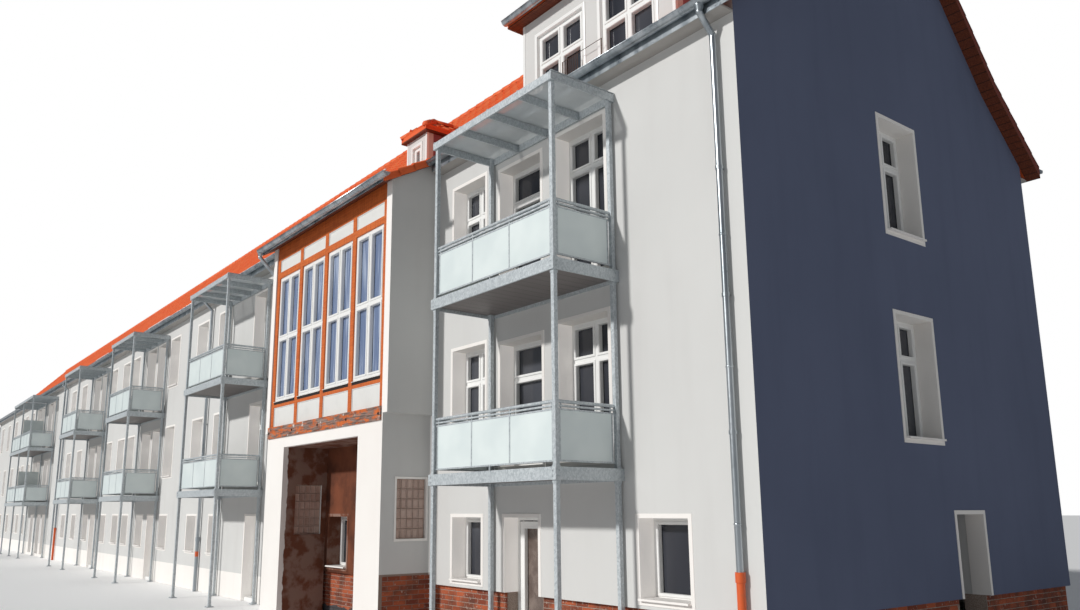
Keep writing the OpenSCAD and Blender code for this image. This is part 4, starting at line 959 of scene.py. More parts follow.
def cap_line(starts, ends, radius):
    """Lapped half-round caps from each start to its end; radius is the wide end's.

    A cap's point is place + ahead * t + radius * size * (side cos + up sin) for an
    angle from -12 to 192 degrees, in four rings: closed end, narrow end, wide end, lip.
    """
    parts = []
    arc = np.column_stack([np.cos(CAP_ANGLES), np.sin(CAP_ANGLES)])
    points = np.concatenate([np.column_stack([np.full(len(arc), t), arc * size])
                             for t, size in CAP_RINGS])
    for start, end in zip(starts, ends):
        ahead = end - start
        length = np.linalg.norm(ahead)
        count = max(1, round(length / CAP_PITCH))
        unit = (ahead / length)[None]
        side, upper = directions(unit)
        axes = np.stack([ahead / count, side[0] * radius, upper[0] * radius], axis=1)
        places = start + np.arange(count)[:, None] * ahead / count
        last = np.arange(count) == count - 1
        frames = np.repeat(axes[None], count, axis=0)
        frames[last, :, 0] /= CAP_LAP
        quads = net(len(CAP_RINGS), len(arc))[:, ::-1]
        parts.append(copies(points, [quads], frames, places))
    return joined(parts)


def cap_tones(caps):
    """One random tone for each cap, written out for its faces, line by line."""
    return np.concatenate([np.repeat(rng.random(len(f) // CAP_FACES), CAP_FACES)
                           for f in caps[1]])


ridge_line = RIDGE + ROOF_TOP - CAP_SINK
caps = cap_line([spot(-VERGE, RIDGE_DEPTH, ridge_line)],
                [spot(BLOCK_LENGTH + VERGE, RIDGE_DEPTH, ridge_line)], RIDGE_RADIUS)
ridge_piece = put("ridge_caps", caps, tile_clay, smooth=True,
                  shade=cap_tones(caps))
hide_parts("ridge_tiles")


def hip_lines(d):
    """Starts and ends of a dormer's two hips and its ridge."""
    half = d["half"] + d["out"]
    y0, z0 = d["front"] - d["out"], d["eaves"] + DORMER_EDGE
    top = spot(d["s"], y0 + half, z0 + half * DORMER_SLOPE)
    back = spot(d["s"], depth_at(z0 + half * DORMER_SLOPE), z0 + half * DORMER_SLOPE)
    low = [spot(d["s"] - half, y0, z0), spot(d["s"] + half, y0, z0)]
    return [*low, top], [top, top, back]


for name, d in (("wide_dormer_caps", WIDE), ("small_dormer_caps", SMALL)):
    caps = cap_line(*hip_lines(d), HIP_RADIUS)
    put(name, caps, tile_clay, smooth=True, shade=cap_tones(caps))

# %% [markdown]
# The solids hold each window's fixed frame. The opening sashes are added here: white
# rings that overlap the frame by five millimetres, with a bevelled outer edge and a
# sloping glazing bead. A sash of its own for each window would be hundreds of pieces,
# so one function carries an outline round any number of rectangles.
# %% Outlines round rectangles
# An outline lists how far a point stands in from the edge and how far it stands out.
SASH = np.array([[-0.005, 0.0], [-0.005, 0.005], [-0.003, 0.007], [0.012, 0.007],
                 [0.016, 0.001], [0.016, -0.03]])


def frame_rings(rects, outline):
    """One outline carried round many rectangles with mitred corners.

    rects lists a centre, a width, a height, the direction across and the direction
    out. A corner's point is centre + across * (w/2 - inset) + up * (h/2 - inset) +
    out * stand, with inset and stand from the outline and the corner's signs.
    """
    centre, width, height, across, out = (np.array(v, float) for v in zip(*rects))
    signs = np.array([[-1, -1], [1, -1], [1, 1], [-1, 1]], float)
    inset, stand = outline[:, 0], outline[:, 1]
    x = signs[None, :, None, 0] * (width[:, None, None] / 2 - inset)
    z = signs[None, :, None, 1] * (height[:, None, None] / 2 - inset)
    points = (centre[:, None, None] + x[..., None] * across[:, None, None]
              + z[..., None] * UP + stand[:, None] * out[:, None, None])
    k = len(outline)
    start = np.arange(len(rects)) * 4 * k
    faces = net(4, k, round_rows=True, round_columns=True)[:, ::-1]
    return points.reshape(-1, 3), [(faces[None] + start[:, None, None]).reshape(-1, 4)]


print("points in a sash's outline:", len(SASH))

# %% [markdown]
# An opening holds one light or several: two side by side where it has a post in its
# middle, and two rows where it has a transom. The sashes need each light's place and
# size, which follow from the opening and from the widths of frame and bars.
# %% Lights of an opening
REVEAL, FRAME_WIDTH, BAR_WIDTH = 0.14, 0.034, 0.038
TRANSOM_DROP = 0.3


def lights_of(s, width, low, high, across_count, transom):
    """Middle, lowest and highest point, and width of each light in an opening."""
    light = (width - 2 * FRAME_WIDTH - (across_count - 1) * BAR_WIDTH) / across_count
    first = s - width / 2 + FRAME_WIDTH + light / 2
    middles = first + np.arange(across_count) * (light + BAR_WIDTH)
    rows = [(low + FRAME_WIDTH, high - FRAME_WIDTH)]
    if transom:
        rows = [(low + FRAME_WIDTH, high - transom - BAR_WIDTH / 2),
                (high - transom + BAR_WIDTH / 2, high - FRAME_WIDTH)]
    return [(m, a, b, light) for m in middles for a, b in rows]


def wall_lights(wall, s, width, low, high, across_count=1, transom=0.0, depth=REVEAL):
    """Rectangles for the sashes of one opening in a wall."""
    rects = []
    for m, a, b, light in lights_of(s, width, low, high, across_count, transom):
        z = (a + b) / 2
        centre, across, out = {
            "front": (spot(m, depth, z), RIGHT, FRONT),
            "rear": (spot(m, BLOCK_DEPTH - depth, z), LEFT, BACK),
            "gable": (spot(depth, m, z), BACK, RIGHT),
            "far": (spot(BLOCK_LENGTH - depth, m, z), FRONT, LEFT)}[wall]
        rects.append((centre, light, b - a, across, out))
    return rects


print("lights in a window with a transom:",
      len(wall_lights("front", 0.0, FIELD_WIDTH, 0.0, 1.0, 2, TRANSOM_DROP)))

# %% [markdown]
# The front's openings follow no even pitch, so their middles are a list, measured in the
# picture. The rear isn't in it and repeats one window at an even pitch. Doors are placed
# as shares of the width of the balcony that they open to.
# %% Windows and doors
GROUND_WINDOWS = [0.785, 3.077, 4.445, 5.555, 9.6, 10.64, 12.16, 13.655, 14.69, 15.45, 16.475,
                  18.11, 19.4, 20.62, 26.7, 27.8, 28.6, 29.9, 31.525, 33.0]
UPPER_WINDOWS = [3.06, 9.6, 10.64, 12.125, 14.69, 15.45, 16.475, 19.4, 20.625, 26.7, 27.8, 28.6,
                 29.9, 31.525, 33.0]
# Middle and width of each balcony, then doors as the number of their balcony and a share
# of its width from its middle.
BALCONIES = [(1.915, 1.575), (8.565, 1.575), (13.29, 1.575), (17.7, 1.575), (24.33, 3.19)]
UPPER_DOORS = [(0, -0.24), (1, -0.2908), (2, -0.254), (2, 0.1905), (3, -0.2654), (3, 0.1981),
               (4, -0.3856), (4, -0.1787), (4, 0.1787), (4, 0.3856)]
HINGED_DOORS = [(0, 0.2508), (1, -0.2794), (2, -0.2413), (3, -0.1778)]
FIXED_DOORS = [(4, -0.3386), (4, -0.1034), (4, 0.2414)]
LOW_DOOR = (0, 0.2457)
GROUND_SILL, GROUND_HEAD, GROUND_WIDTH = 0.548, 1.095, 0.45
UPPER_HEADS, UPPER_HEIGHT, UPPER_WIDTH = (2.58, 4.13), 0.85, 0.52
DECKS, DOOR_WIDTH, THRESHOLD, LOW_DROP = (1.425, 2.85), 0.57, 0.066, 0.048
REAR_WINDOWS = 0.9 + 1.288 * np.arange(26)
GABLE_WINDOW, GABLE_SILL_DROP, GABLE_HEAD_DROP = BLOCK_DEPTH * 0.4687, 0.947, 0.022
DORMER_TRANSOM, DORMER_REVEAL = 0.2825, 0.02
BAY_LIGHT_LOW, BAY_LIGHT_HEIGHT, BAY_FRAME_DEPTH = 2.373, 1.457, -0.497


def door_place(door):
    """Distance of a door: its balcony's middle and a share of the balcony's width."""
    middle, width = BALCONIES[door[0]]
    return middle + door[1] * width


print("windows at the front:", len(GROUND_WINDOWS) + 2 * len(UPPER_WINDOWS))

# %% [markdown]
# All sashes of walls, gables, dormers and bay become one mesh, because they are one
# profile in one plastic. Each line below adds the lights of one kind of opening.
# %% Sashes
rects = []
for s in GROUND_WINDOWS:
    rects += wall_lights("front", s, GROUND_WIDTH, GROUND_SILL, GROUND_HEAD)
for head in UPPER_HEADS:
    for s in UPPER_WINDOWS:
        rects += wall_lights("front", s, UPPER_WIDTH, head - UPPER_HEIGHT, head, 2, TRANSOM_DROP)
for deck, head in zip(DECKS, UPPER_HEADS):
    for door in UPPER_DOORS:
        rects += wall_lights("front", door_place(door), DOOR_WIDTH, deck + THRESHOLD, head, 2,
                             TRANSOM_DROP)
    rects += wall_lights("front", door_place(LOW_DOOR), DOOR_WIDTH, deck + THRESHOLD,
                         head - LOW_DROP, 1, TRANSOM_DROP)
for door in FIXED_DOORS:
    rects += wall_lights("front", door_place(door), GROUND_WIDTH, THRESHOLD, GROUND_HEAD)
for s in REAR_WINDOWS:
    rects += wall_lights("rear", s, GROUND_WIDTH, GROUND_SILL, GROUND_HEAD)
    for head in UPPER_HEADS:
        rects += wall_lights("rear", s, UPPER_WIDTH, head - UPPER_HEIGHT, head, 2, TRANSOM_DROP)
for wall in ("gable", "far"):
    for head in UPPER_HEADS:
        rects += wall_lights(wall, GABLE_WINDOW, UPPER_WIDTH, head - GABLE_SILL_DROP,
                             head - GABLE_HEAD_DROP, 2, TRANSOM_DROP)
for offset in WIDE["windows"]:
    rects += wall_lights("front", WIDE["s"] + offset, *WIDE["window"], 2, DORMER_TRANSOM,
                         WIDE["front"] + DORMER_REVEAL)
rects += wall_lights("front", SMALL["s"], *SMALL["window"], 1, 0.0,
                     SMALL["front"] + DORMER_REVEAL)
for middle in field_middles:
    rects += wall_lights("front", middle, FIELD_WIDTH, BAY_LIGHT_LOW,
                         BAY_LIGHT_LOW + BAY_LIGHT_HEIGHT, 2, BAY_LIGHT_HEIGHT / 2,
                         BAY_FRAME_DEPTH)
print("lights with a sash:", len(rects))
put("window_sashes", frame_rings(rects, SASH), plastic)

# %% [markdown]
# The bare plinth under the render is old brickwork: half-brick faces with worn edges,
# each fired to its own tone. One bevelled face is copied along every course, cut short
# at the doorways, and stands three millimetres out of the mortar of the solid plinth.
# %% Plinth bricks
BRICK_PITCH, JOINT, SHORTEST_BRICK = 0.126, 0.006, 0.02
PLINTH_TOP, COURSES, PIER_COURSES = 0.5, 12, 14
PLINTH_SET_BACK, BRICK_PROUD, BRICK_BEVEL = 0.04, 0.003, 0.0025
GABLE_DOOR, GABLE_DOOR_HALF = BLOCK_DEPTH * 0.6043, 0.2125


def lidded(rects, outline):
    """Points of frame_rings, its faces without the ring's back, and a lid over each ring."""
    points, faces = frame_rings(rects, outline)
    k = len(outline)
    ring = faces[0].reshape(len(rects), 4, k, 4)[:, :, :k - 1].reshape(-1, 4)
    lid = np.arange(len(rects))[:, None] * 4 * k + np.arange(1, 5) * k - 1
    return points, ring, lid


def course_of_bricks(runs, course):
    """Starts and ends of the bricks of one course, kept inside the given runs."""
    found = []
    for low, high in runs:
        shift = 0.5 * (course % 2)
        first = np.arange(math.floor(low / BRICK_PITCH) - 1, math.ceil(high / BRICK_PITCH) + 1)
        start = np.clip((first + shift) * BRICK_PITCH + JOINT, low + JOINT, high - JOINT)
        end = np.clip((first + 1 + shift) * BRICK_PITCH, low + JOINT, high - JOINT)
        wide = end - start > SHORTEST_BRICK
        found.append(np.column_stack([start[wide], end[wide]]))
    return np.concatenate(found)


def brick_wall(runs, place, across, out, courses=COURSES):
    """Brick faces over runs of a wall, with the number of bricks.

    place turns a distance and a height into a place in the frame. Each brick is a ring
    with two faces a side, and a lid.
    """
    height = PLINTH_TOP / COURSES
    bricks = [course_of_bricks(runs, c) for c in range(courses)]
    level = np.repeat(np.arange(courses), [len(b) for b in bricks])
    bricks = np.concatenate(bricks)
    wide, tall = bricks[:, 1] - bricks[:, 0], height - JOINT
    middle = bricks.mean(axis=1)
    centres = place(middle, level * height + height / 2)
    rects = [(c, w, tall, across, out) for c, w in zip(centres, wide)]
    outline = np.array([[0.0, -0.002], [0.0, BRICK_PROUD - BRICK_BEVEL * 0.6],
                        [BRICK_BEVEL, BRICK_PROUD]])
    points, ring, lid = lidded(rects, outline)
    return points, [ring, lid], len(rects)


door_half = GROUND_WIDTH / 2
door_1 = door_place(HINGED_DOORS[0])
front_runs = [(PLINTH_SET_BACK, door_1 - door_half), (door_1 + door_half, BAY + BAY_LOWER)]
gable_runs = [(PLINTH_SET_BACK, GABLE_DOOR - GABLE_DOOR_HALF),
              (GABLE_DOOR + GABLE_DOOR_HALF, BLOCK_DEPTH)]
pier_runs = [(BAY_FRONT + 0.03, 0.0)]
walls = [brick_wall(front_runs, lambda m, z: spot(m, PLINTH_SET_BACK, z), RIGHT, FRONT),
         brick_wall(gable_runs, lambda m, z: spot(PLINTH_SET_BACK, m, z), BACK, RIGHT),
         brick_wall(pier_runs, lambda m, z: spot(BAY - BAY_LOWER, m, z), BACK, RIGHT,
                    PIER_COURSES),
         brick_wall(pier_runs, lambda m, z: spot(BAY + BAY_LOWER, m, z), FRONT, LEFT,
                    PIER_COURSES)]
tones = [rng.random(count) for _, _, count in walls]
shade = np.concatenate([np.concatenate([np.repeat(t, 8), t]) for t in tones])
put("plinth_bricks", joined([(p, f) for p, f, _ in walls]), brick_faces, shade=shade)

# %% [markdown]
# Glass blocks close the porch's sides: hollow pressed blocks with a raised rim and a
# sunk face, bedded in mortar. Each is the same outline carried round a rectangle,
# five across and six high, on both faces of each of the four panels.
# %% Glass blocks
BLOCK_ROWS, BLOCK_COLUMNS, BLOCK_GAP = 6, 5, 0.006
PANEL_MIDDLE, PANEL_WIDTH, PANEL_LOW, PANEL_HEIGHT = -0.212, 0.31, 0.9, 0.53
PANEL_PLACES = [BAY + side * out for side in (-1, 1) for out in (0.925, 1.295)]
RIM = np.array([[0.0, 0.0], [0.0, 0.021], [0.003, 0.024], [0.008, 0.024], [0.012, 0.0195]])
cell_w, cell_h = PANEL_WIDTH / BLOCK_COLUMNS, PANEL_HEIGHT / BLOCK_ROWS
column, row = np.meshgrid(np.arange(BLOCK_COLUMNS), np.arange(BLOCK_ROWS), indexing="ij")
block_depth = PANEL_MIDDLE - PANEL_WIDTH / 2 + (column.ravel() + 0.5) * cell_w
block_height = PANEL_LOW + (row.ravel() + 0.5) * cell_h
rects = []
for s in PANEL_PLACES:
    for centre in spot(s, block_depth, block_height):
        for out in (RIGHT, LEFT):
            rects.append((centre, cell_w - BLOCK_GAP, cell_h - BLOCK_GAP, np.cross(UP, out), out))
points, ring, lid = lidded(rects, RIM)
own = np.repeat(rng.random(len(rects) // 2), 2)
blocks = put("glass_blocks", (points, [ring, lid]), glass_block,
             shade=np.concatenate([np.repeat(own, 4 * (len(RIM) - 1)), own]))
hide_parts("glass_block_windows")

# %% [markdown]
# Outside, each panel has a narrow white surround; between the blocks run joints of
# mortar. The surround is one more outline round a rectangle, the joints are flat rods
# along each row and column, a little wider than the gap so that no light comes through.
# %% Surrounds and joints of the blocks
SURROUND = np.array([[-0.02, 0.0], [-0.02, 0.005], [-0.017, 0.007], [0.0, 0.005],
                     [0.002, -0.01]])
JOINT_DEPTH = 0.036
panel_height = PANEL_LOW + PANEL_HEIGHT / 2
rects = [(spot(BAY + side * BAY_LOWER, PANEL_MIDDLE, panel_height), PANEL_WIDTH, PANEL_HEIGHT,
          across, out) for side, across, out in ((-1, BACK, RIGHT), (1, FRONT, LEFT))]
put("block_surrounds", frame_rings(rects, SURROUND), board_white)

bars_from, bars_to = [], []
y0, y1 = PANEL_MIDDLE - PANEL_WIDTH / 2, PANEL_MIDDLE + PANEL_WIDTH / 2
for s in PANEL_PLACES:
    for depth in y0 + np.arange(BLOCK_COLUMNS + 1) * cell_w:
        bars_from.append(spot(s, depth, PANEL_LOW))
        bars_to.append(spot(s, depth, PANEL_LOW + PANEL_HEIGHT))
    for height in PANEL_LOW + np.arange(BLOCK_ROWS + 1) * cell_h:
        bars_from.append(spot(s, y0, height))
        bars_to.append(spot(s, y1, height))
bars_from, bars_to = np.array(bars_from), np.array(bars_to)
upright = bars_to[:, 2] > bars_from[:, 2]
joint_bars = joined([
    rods(bars_from[upright], bars_to[upright],
         flat_outline(BLOCK_GAP + MM, JOINT_DEPTH, MM)),
    rods(bars_from[~upright], bars_to[~upright],
         flat_outline(JOINT_DEPTH, BLOCK_GAP + MM, MM))])
put("glass_block_joints", joint_bars, mortar)

# %% [markdown]
# Each balcony stands on steel posts with base plates, and short sleeves and plates show
# where a post passes a deck. All are square uprights round the same places, so one
# function makes them from a list of heights and widths.
# %% Posts and sleeves
POST_WIDTH, STEEL, BALCONY_DEPTH = 0.034, 0.016, 0.622
CANOPY, DECK_DEPTH = 4.225, 0.086
BASE_THICK, BASE_WIDTH, COLLAR_WIDTH, PLATE_WIDTH = 0.007, 0.09, 0.041, 0.067
BEVEL = 0.002
balcony_front = -CLEAR - BALCONY_DEPTH
post_in = STEEL + POST_WIDTH / 2
post_depths = np.array([balcony_front + post_in, -CLEAR - post_in])
post_places = []
for middle, width in BALCONIES:
    offsets = [-width / 2 + post_in, width / 2 - post_in]
    offsets += [0.0] if width > 2 else []
    post_places += [(middle + o, depth) for o in offsets for depth in post_depths]
post_places = np.array(post_places)
print("posts:", len(post_places))


def upright_at(places, low, high, width, bevel):
    """Square uprights around each post from one height to another."""
    starts = spot(places[:, 0], places[:, 1], low)
    ends = spot(places[:, 0], places[:, 1], high)
    return rods(starts, ends, flat_outline(width, width, bevel))


sleeves = [upright_at(post_places, 0.0, BASE_THICK, BASE_WIDTH, 0.004),
           upright_at(post_places, BASE_THICK, 0.026, 0.04, BEVEL)]
for deck in DECKS:
    under = deck - DECK_DEPTH
    # A collar above the deck and one below it, then the plates on the deck's channels.
    for low, high, width in ((deck - 0.0098, deck + 0.012, COLLAR_WIDTH),
                             (under - 0.02, under + 0.004, COLLAR_WIDTH),
                             (deck - 0.0098, deck - 0.005, PLATE_WIDTH),
                             (deck - 0.066, deck - 0.0603, PLATE_WIDTH)):
        sleeves.append(upright_at(post_places, low, high, width, BEVEL))
put("post_sleeves", joined(sleeves), galvanised)

slim_posts = put("slim_posts", upright_at(post_places, 0.0, CANOPY - 0.006, POST_WIDTH, BEVEL),
                 galvanised)
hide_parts("balcony_posts")

# %% [markdown]
# The solids' posts are 50 mm wide where the real ones measure 34 mm at this scale, so
# the slimmer ones above stand in for them. The rails of the solids end at the thicker
# posts; short pieces with the same sections carry them over the difference.
# %% Ends of the rails
SOLID_POST, OVERLAP = 0.05, 0.001
# Heights above a deck and sections of handrail, upper rail, panel rail and foot rail.
BAR = flat_outline(0.012, 0.012, 0.001)
RAILS = [(0.436, round_outline(0.012, 12)), (0.406, flat_outline(0.024, 0.012, 0.001)),
         (0.382, BAR), (0.04, BAR)]
inner, outer = STEEL + POST_WIDTH - OVERLAP, STEEL + SOLID_POST + OVERLAP
line = STEEL + SOLID_POST / 2


def rail_points(reach, middle_reach):
    """Where rails meet the posts: reach in from each corner, middle_reach from a middle post."""
    found = []
    for middle, width in BALCONIES:
        for end in (-1, 1):
            edge = middle + end * width / 2
            found += [(edge - end * reach, balcony_front + line),
                      (edge - end * line, balcony_front + reach),
                      (edge - end * line, -CLEAR - reach)]
            if width > 2:
                found.append((middle + end * middle_reach, balcony_front + line))
    return np.array(found)


near = rail_points(inner, POST_WIDTH / 2 - OVERLAP)
far = rail_points(outer, SOLID_POST / 2 + OVERLAP)
rail_ends = [rods(spot(near[:, 0], near[:, 1], deck + height),
                  spot(far[:, 0], far[:, 1], deck + height), outline)
             for deck in DECKS for height, outline in RAILS]
put("rail_ends", joined(rail_ends), galvanised)

# %% [markdown]
# Hexagon bolts hold the base plates and the channels of the decks, and flat caps cover
# the glazing bars of the canopies. One bolt is a few rings of six points: the washer,
# the head and its chamfer. It is copied to every place that has one.
# %% Balcony bolts and canopy strips
FOOT_BOLT, DECK_BOLT = (0.005, 0.007), (0.0065, 0.006)
BOLT_DROPS, BASE_BOLT_REACH = (0.026, 0.06), 0.032
hexagon = round_outline(1.0, 6)
bolt_rings = [(0.0, 1.9), (0.12, 1.9), (0.14, 1.0), (0.85, 1.0), (1.0, 0.86)]
bolt_points = np.concatenate([np.column_stack([np.full(6, t), hexagon * size])
                              for t, size in bolt_rings])
bolt_faces = [net(5, 6, round_columns=True), np.array([np.arange(24, 30)])]


def bolts(places, out, radius, height):
    """Hexagon heads on washers at many places, standing out along one direction."""
    side, upper = directions(np.asarray(out, float)[None])
    axes = np.stack([np.asarray(out) * height, side[0] * radius, upper[0] * radius], axis=1)
    return copies(bolt_points, bolt_faces, np.repeat(axes[None], len(places), axis=0), places)


around = np.array([[-1, -1], [-1, 1], [1, -1], [1, 1]]) * BASE_BOLT_REACH
base_bolts = (post_places[:, None] + around[None]).reshape(-1, 2)
bolt_parts = [bolts(spot(base_bolts[:, 0], base_bolts[:, 1], BASE_THICK), UP, *FOOT_BOLT)]
front_posts = post_places[post_places[:, 1] < -BALCONY_DEPTH / 2]
for deck in DECKS:
    for drop in BOLT_DROPS:
        bolt_parts.append(bolts(spot(front_posts[:, 0], balcony_front, deck - drop), FRONT,
                                *DECK_BOLT))
for middle, width in BALCONIES:
    for side, out in ((-1, RIGHT), (1, LEFT)):
        edge = middle + side * width / 2
        for deck in DECKS:
            for depth in post_depths:
                bolt_parts.append(bolts(spot(edge, depth, deck - np.array(BOLT_DROPS)), out,
                                        *DECK_BOLT))
put("balcony_bolts", joined(bolt_parts), galvanised)

STRIP_RISE = 0.0083
strips_from, strips_to = [], []
for middle, width in BALCONIES:
    fields = 8 if width > 2 else 4
    along = middle - width / 2 + STEEL / 2 + np.arange(fields + 1) * (width - STEEL) / fields
    strips_from.append(spot(along, balcony_front + 0.004, CANOPY + STRIP_RISE))
    strips_to.append(spot(along, -0.005, CANOPY + STRIP_RISE))
put("canopy_cap_strips", rods(np.concatenate(strips_from), np.concatenate(strips_to),
                              flat_outline(0.026, 0.004, 0.001)), galvanised)

# %% [markdown]
# The rainwater goods are soldered zinc. Gutters have a rolled front bead, and a strap
# every half metre of the real block holds them. Both are too thin for the solids. A
# bead is a rod along the gutter's edge, a strap half a ring with a flat section.
# %% Gutters
GUTTER_RADIUS, BEAD_RADIUS = 0.038, 0.0045
STRAP_PITCH, STRAP_WIDTH = 0.27, 0.014
FRONT_LINE, REAR_LINE, BAY_LINE = (-0.1633, 4.4475), (4.3133, 4.2675), (-0.6883, 4.191)
DORMER_LINE = (-0.1383, 5.355)
# Each gutter: its two ends, its depth and height, and 1 where it hangs at the front.
GUTTERS = [(-VERGE, 3.515, *FRONT_LINE, 1), (6.485, BLOCK_LENGTH + VERGE, *FRONT_LINE, 1),
           (-VERGE, BLOCK_LENGTH + VERGE, *REAR_LINE, -1), (3.395, 6.485, *BAY_LINE, 1),
           (0.395, 2.325, *DORMER_LINE, 1)]
beads = [rods(spot(s0, depth - side * GUTTER_RADIUS, z), spot(s1, depth - side * GUTTER_RADIUS, z),
              round_outline(BEAD_RADIUS, 8)) for s0, s1, depth, z, side in GUTTERS]
put("gutter_beads", joined(beads), zinc_sheet, smooth=True)


def strap_arcs(s0, s1, depth, height):
    """Half rings under a gutter: centre + radius (cos, sin) for angles 180 to 360 degrees."""
    count = max(2, round((s1 - s0) / STRAP_PITCH))
    middles = s0 + (np.arange(count) + 0.5) * (s1 - s0) / count
    angle = np.radians(np.linspace(180, 360, 13))
    inner, outer = GUTTER_RADIUS + 0.0002, GUTTER_RADIUS + 0.0025
    section = [(-0.5, inner), (-0.5, outer), (0.5, outer), (0.5, inner)]
    points = np.concatenate([np.column_stack([np.full(13, x * STRAP_WIDTH),
                                              np.cos(angle) * r, np.sin(angle) * r])
                             for x, r in section])
    places = spot(middles, depth, height)
    frames = np.repeat(np.eye(3)[None], count, axis=0)
    return copies(points, [net(4, 13, round_rows=True)], frames, places)


put("gutter_straps", joined([strap_arcs(s0, s1, depth, z) for s0, s1, depth, z, _ in GUTTERS]),
    zinc_sheet, smooth=False)

# %% [markdown]
# A downpipe is made of lengths that slide into each other, with a raised collar at each
# joint, and hangs from the gutter's outlet funnel. Collar and funnel are both turned
# rings: a section of heights and radii goes once round the pipe and is copied.
# %% Collars and funnels
PIPE_RADIUS, WALL_TO_PIPE, COLLAR_HEIGHT, FUNNEL_HEIGHT = 0.022, 0.04, 0.014, 0.05
FUNNEL_DROP = GUTTER_RADIUS + 0.045
FRONT_PIPES, BAY_PIPE = (0.145, GREY_PIPE, 21.3, 33.8), 6.46
REAR_PIPES = (0.145, 10.56, 20.864, 33.8)
COLLAR_LEVELS = np.array([1.05, 2.0, 2.85])
COLLAR = [(0.0, 1.01), (0.15, 1.14), (0.85, 1.14), (1.0, 1.01)]
FUNNEL = [(0.0, 1.02), (0.3, 1.1), (0.75, 1.45), (1.0, 1.5)]


def turned(section, height, places):
    """Rings round upright pipes: place + pipe radius * r * (cos, sin) + height * t."""
    circle = round_outline(1.0, 20)
    points = np.concatenate([np.column_stack([circle * r, np.full(20, t)])
                             for t, r in section])
    axes = np.repeat(np.diag([PIPE_RADIUS, PIPE_RADIUS, height])[None], len(places), axis=0)
    return copies(points, [net(len(section), 20, round_columns=True)], axes, places)


outlets = ([(s, *FRONT_LINE) for s in FRONT_PIPES] + [(BAY_PIPE, *BAY_LINE)]
           + [(s, *REAR_LINE) for s in REAR_PIPES])
funnel_places = np.array([spot(s, depth, height - FUNNEL_DROP) for s, depth, height in outlets])
put("outlet_funnels", turned(FUNNEL, FUNNEL_HEIGHT, funnel_places), zinc_sheet,
    smooth=True)
collar_places = np.concatenate(
    [spot(s, -WALL_TO_PIPE, COLLAR_LEVELS) for s in (*FRONT_PIPES, BAY_PIPE)]
    + [spot(s, BLOCK_DEPTH + WALL_TO_PIPE, COLLAR_LEVELS) for s in REAR_PIPES])
put("pipe_collars", turned(COLLAR, COLLAR_HEIGHT, collar_places), zinc_sheet,
    smooth=True)

# %% [markdown]
# Behind the gutters of the main roof and of the bay, a folded zinc strip covers the edge
# of the roof under the tiles. It is a flat rod along the eaves, narrower at the bay.
# %% Eave strips
STRIP_OUT, STRIP_DROP, BAY_STRIP_DROP = 0.002, 0.08, 0.03
STRIP_THICK, MAIN_STRIP, BAY_STRIP = 0.003, 0.088, 0.054
strip_end = BLOCK_LENGTH + VERGE - STRIP_OUT
front_strip = (-EAVE - STRIP_OUT, FRONT_EAVE - STRIP_DROP, MAIN_STRIP)
strip_runs = [(STRIP_OUT - VERGE, BAY - BAY_ROOF_HALF - STRIP_OUT, *front_strip),
              (BAY + BAY_ROOF_HALF + STRIP_OUT, strip_end, *front_strip),
              (STRIP_OUT - VERGE, strip_end, BLOCK_DEPTH + EAVE + STRIP_OUT,
               REAR_EAVE - STRIP_DROP, MAIN_STRIP),
              (BAY - BAY_ROOF_HALF, BAY + BAY_ROOF_HALF, BAY_EAVE - STRIP_OUT,
               FRONT_EAVE + ROOF_TOP + BAY_EAVE * BAY_SLOPE - BAY_STRIP_DROP, BAY_STRIP)]
put("eave_strips", joined([rods(spot(s0, depth, height), spot(s1, depth, height),
                                flat_outline(STRIP_THICK, width, 0.001))
                           for s0, s1, depth, height, width in strip_runs]), zinc_sheet)

# %% [markdown]
# The bay's joinery has small parts on its flat front: white beads hold the infill
# boards, a sloping sill throws rain off under each window, and bolts tie the sill
# beam to the posts. Beads are mitred outlines, sills bevelled rods, bolts copies.
# %% Bay beads, sills and bolts
INFILL_ROWS = [(BEAM_TOP, 2.303), (3.9, 4.045)]
BOLT_HEIGHT, BOLT_SIZE, BEAM_OUT = 2.01, (0.0085, 0.008), 0.016
BEAD = np.array([[0.0, -0.002], [0.0, 0.008], [0.007, 0.008], [0.01, -0.002]])
SILL = np.array([[0.0, -0.002], [0.0, 0.003], [-0.022, -0.004], [-0.022, -0.009]])[::-1]
rects = [(spot(m, BAY_FRAME_DEPTH, (low + high) / 2), FIELD_WIDTH, high - low, RIGHT, FRONT)
         for m in field_middles for low, high in INFILL_ROWS]
put("infill_beads", frame_rings(rects, BEAD), plastic)

half_sill = FIELD_WIDTH / 2 - 0.002
put("bay_sills", rods(spot(field_middles - half_sill, BAY_FRAME_DEPTH, BAY_LIGHT_LOW),
                      spot(field_middles + half_sill, BAY_FRAME_DEPTH, BAY_LIGHT_LOW), SILL),
    board_white)

iron = Finish("dark_iron", Metallic=0.6, Roughness=0.6)
dark_iron = iron.look(iron.blend(iron.noise(60.0, 3.0), paint(58, 44, 38), paint(92, 66, 52)),
                      None, (iron.noise(200.0, 2.0), 0.0006, 0.5))
post_middles = BAY - BAY_INNER + TIMBER_WIDTH / 2 + np.arange(FIELD_COUNT + 1) * FIELD_PITCH
put("sill_beam_bolts", bolts(spot(post_middles, BAY_FRONT - BEAM_OUT, BOLT_HEIGHT), FRONT,
                             *BOLT_SIZE), dark_iron)

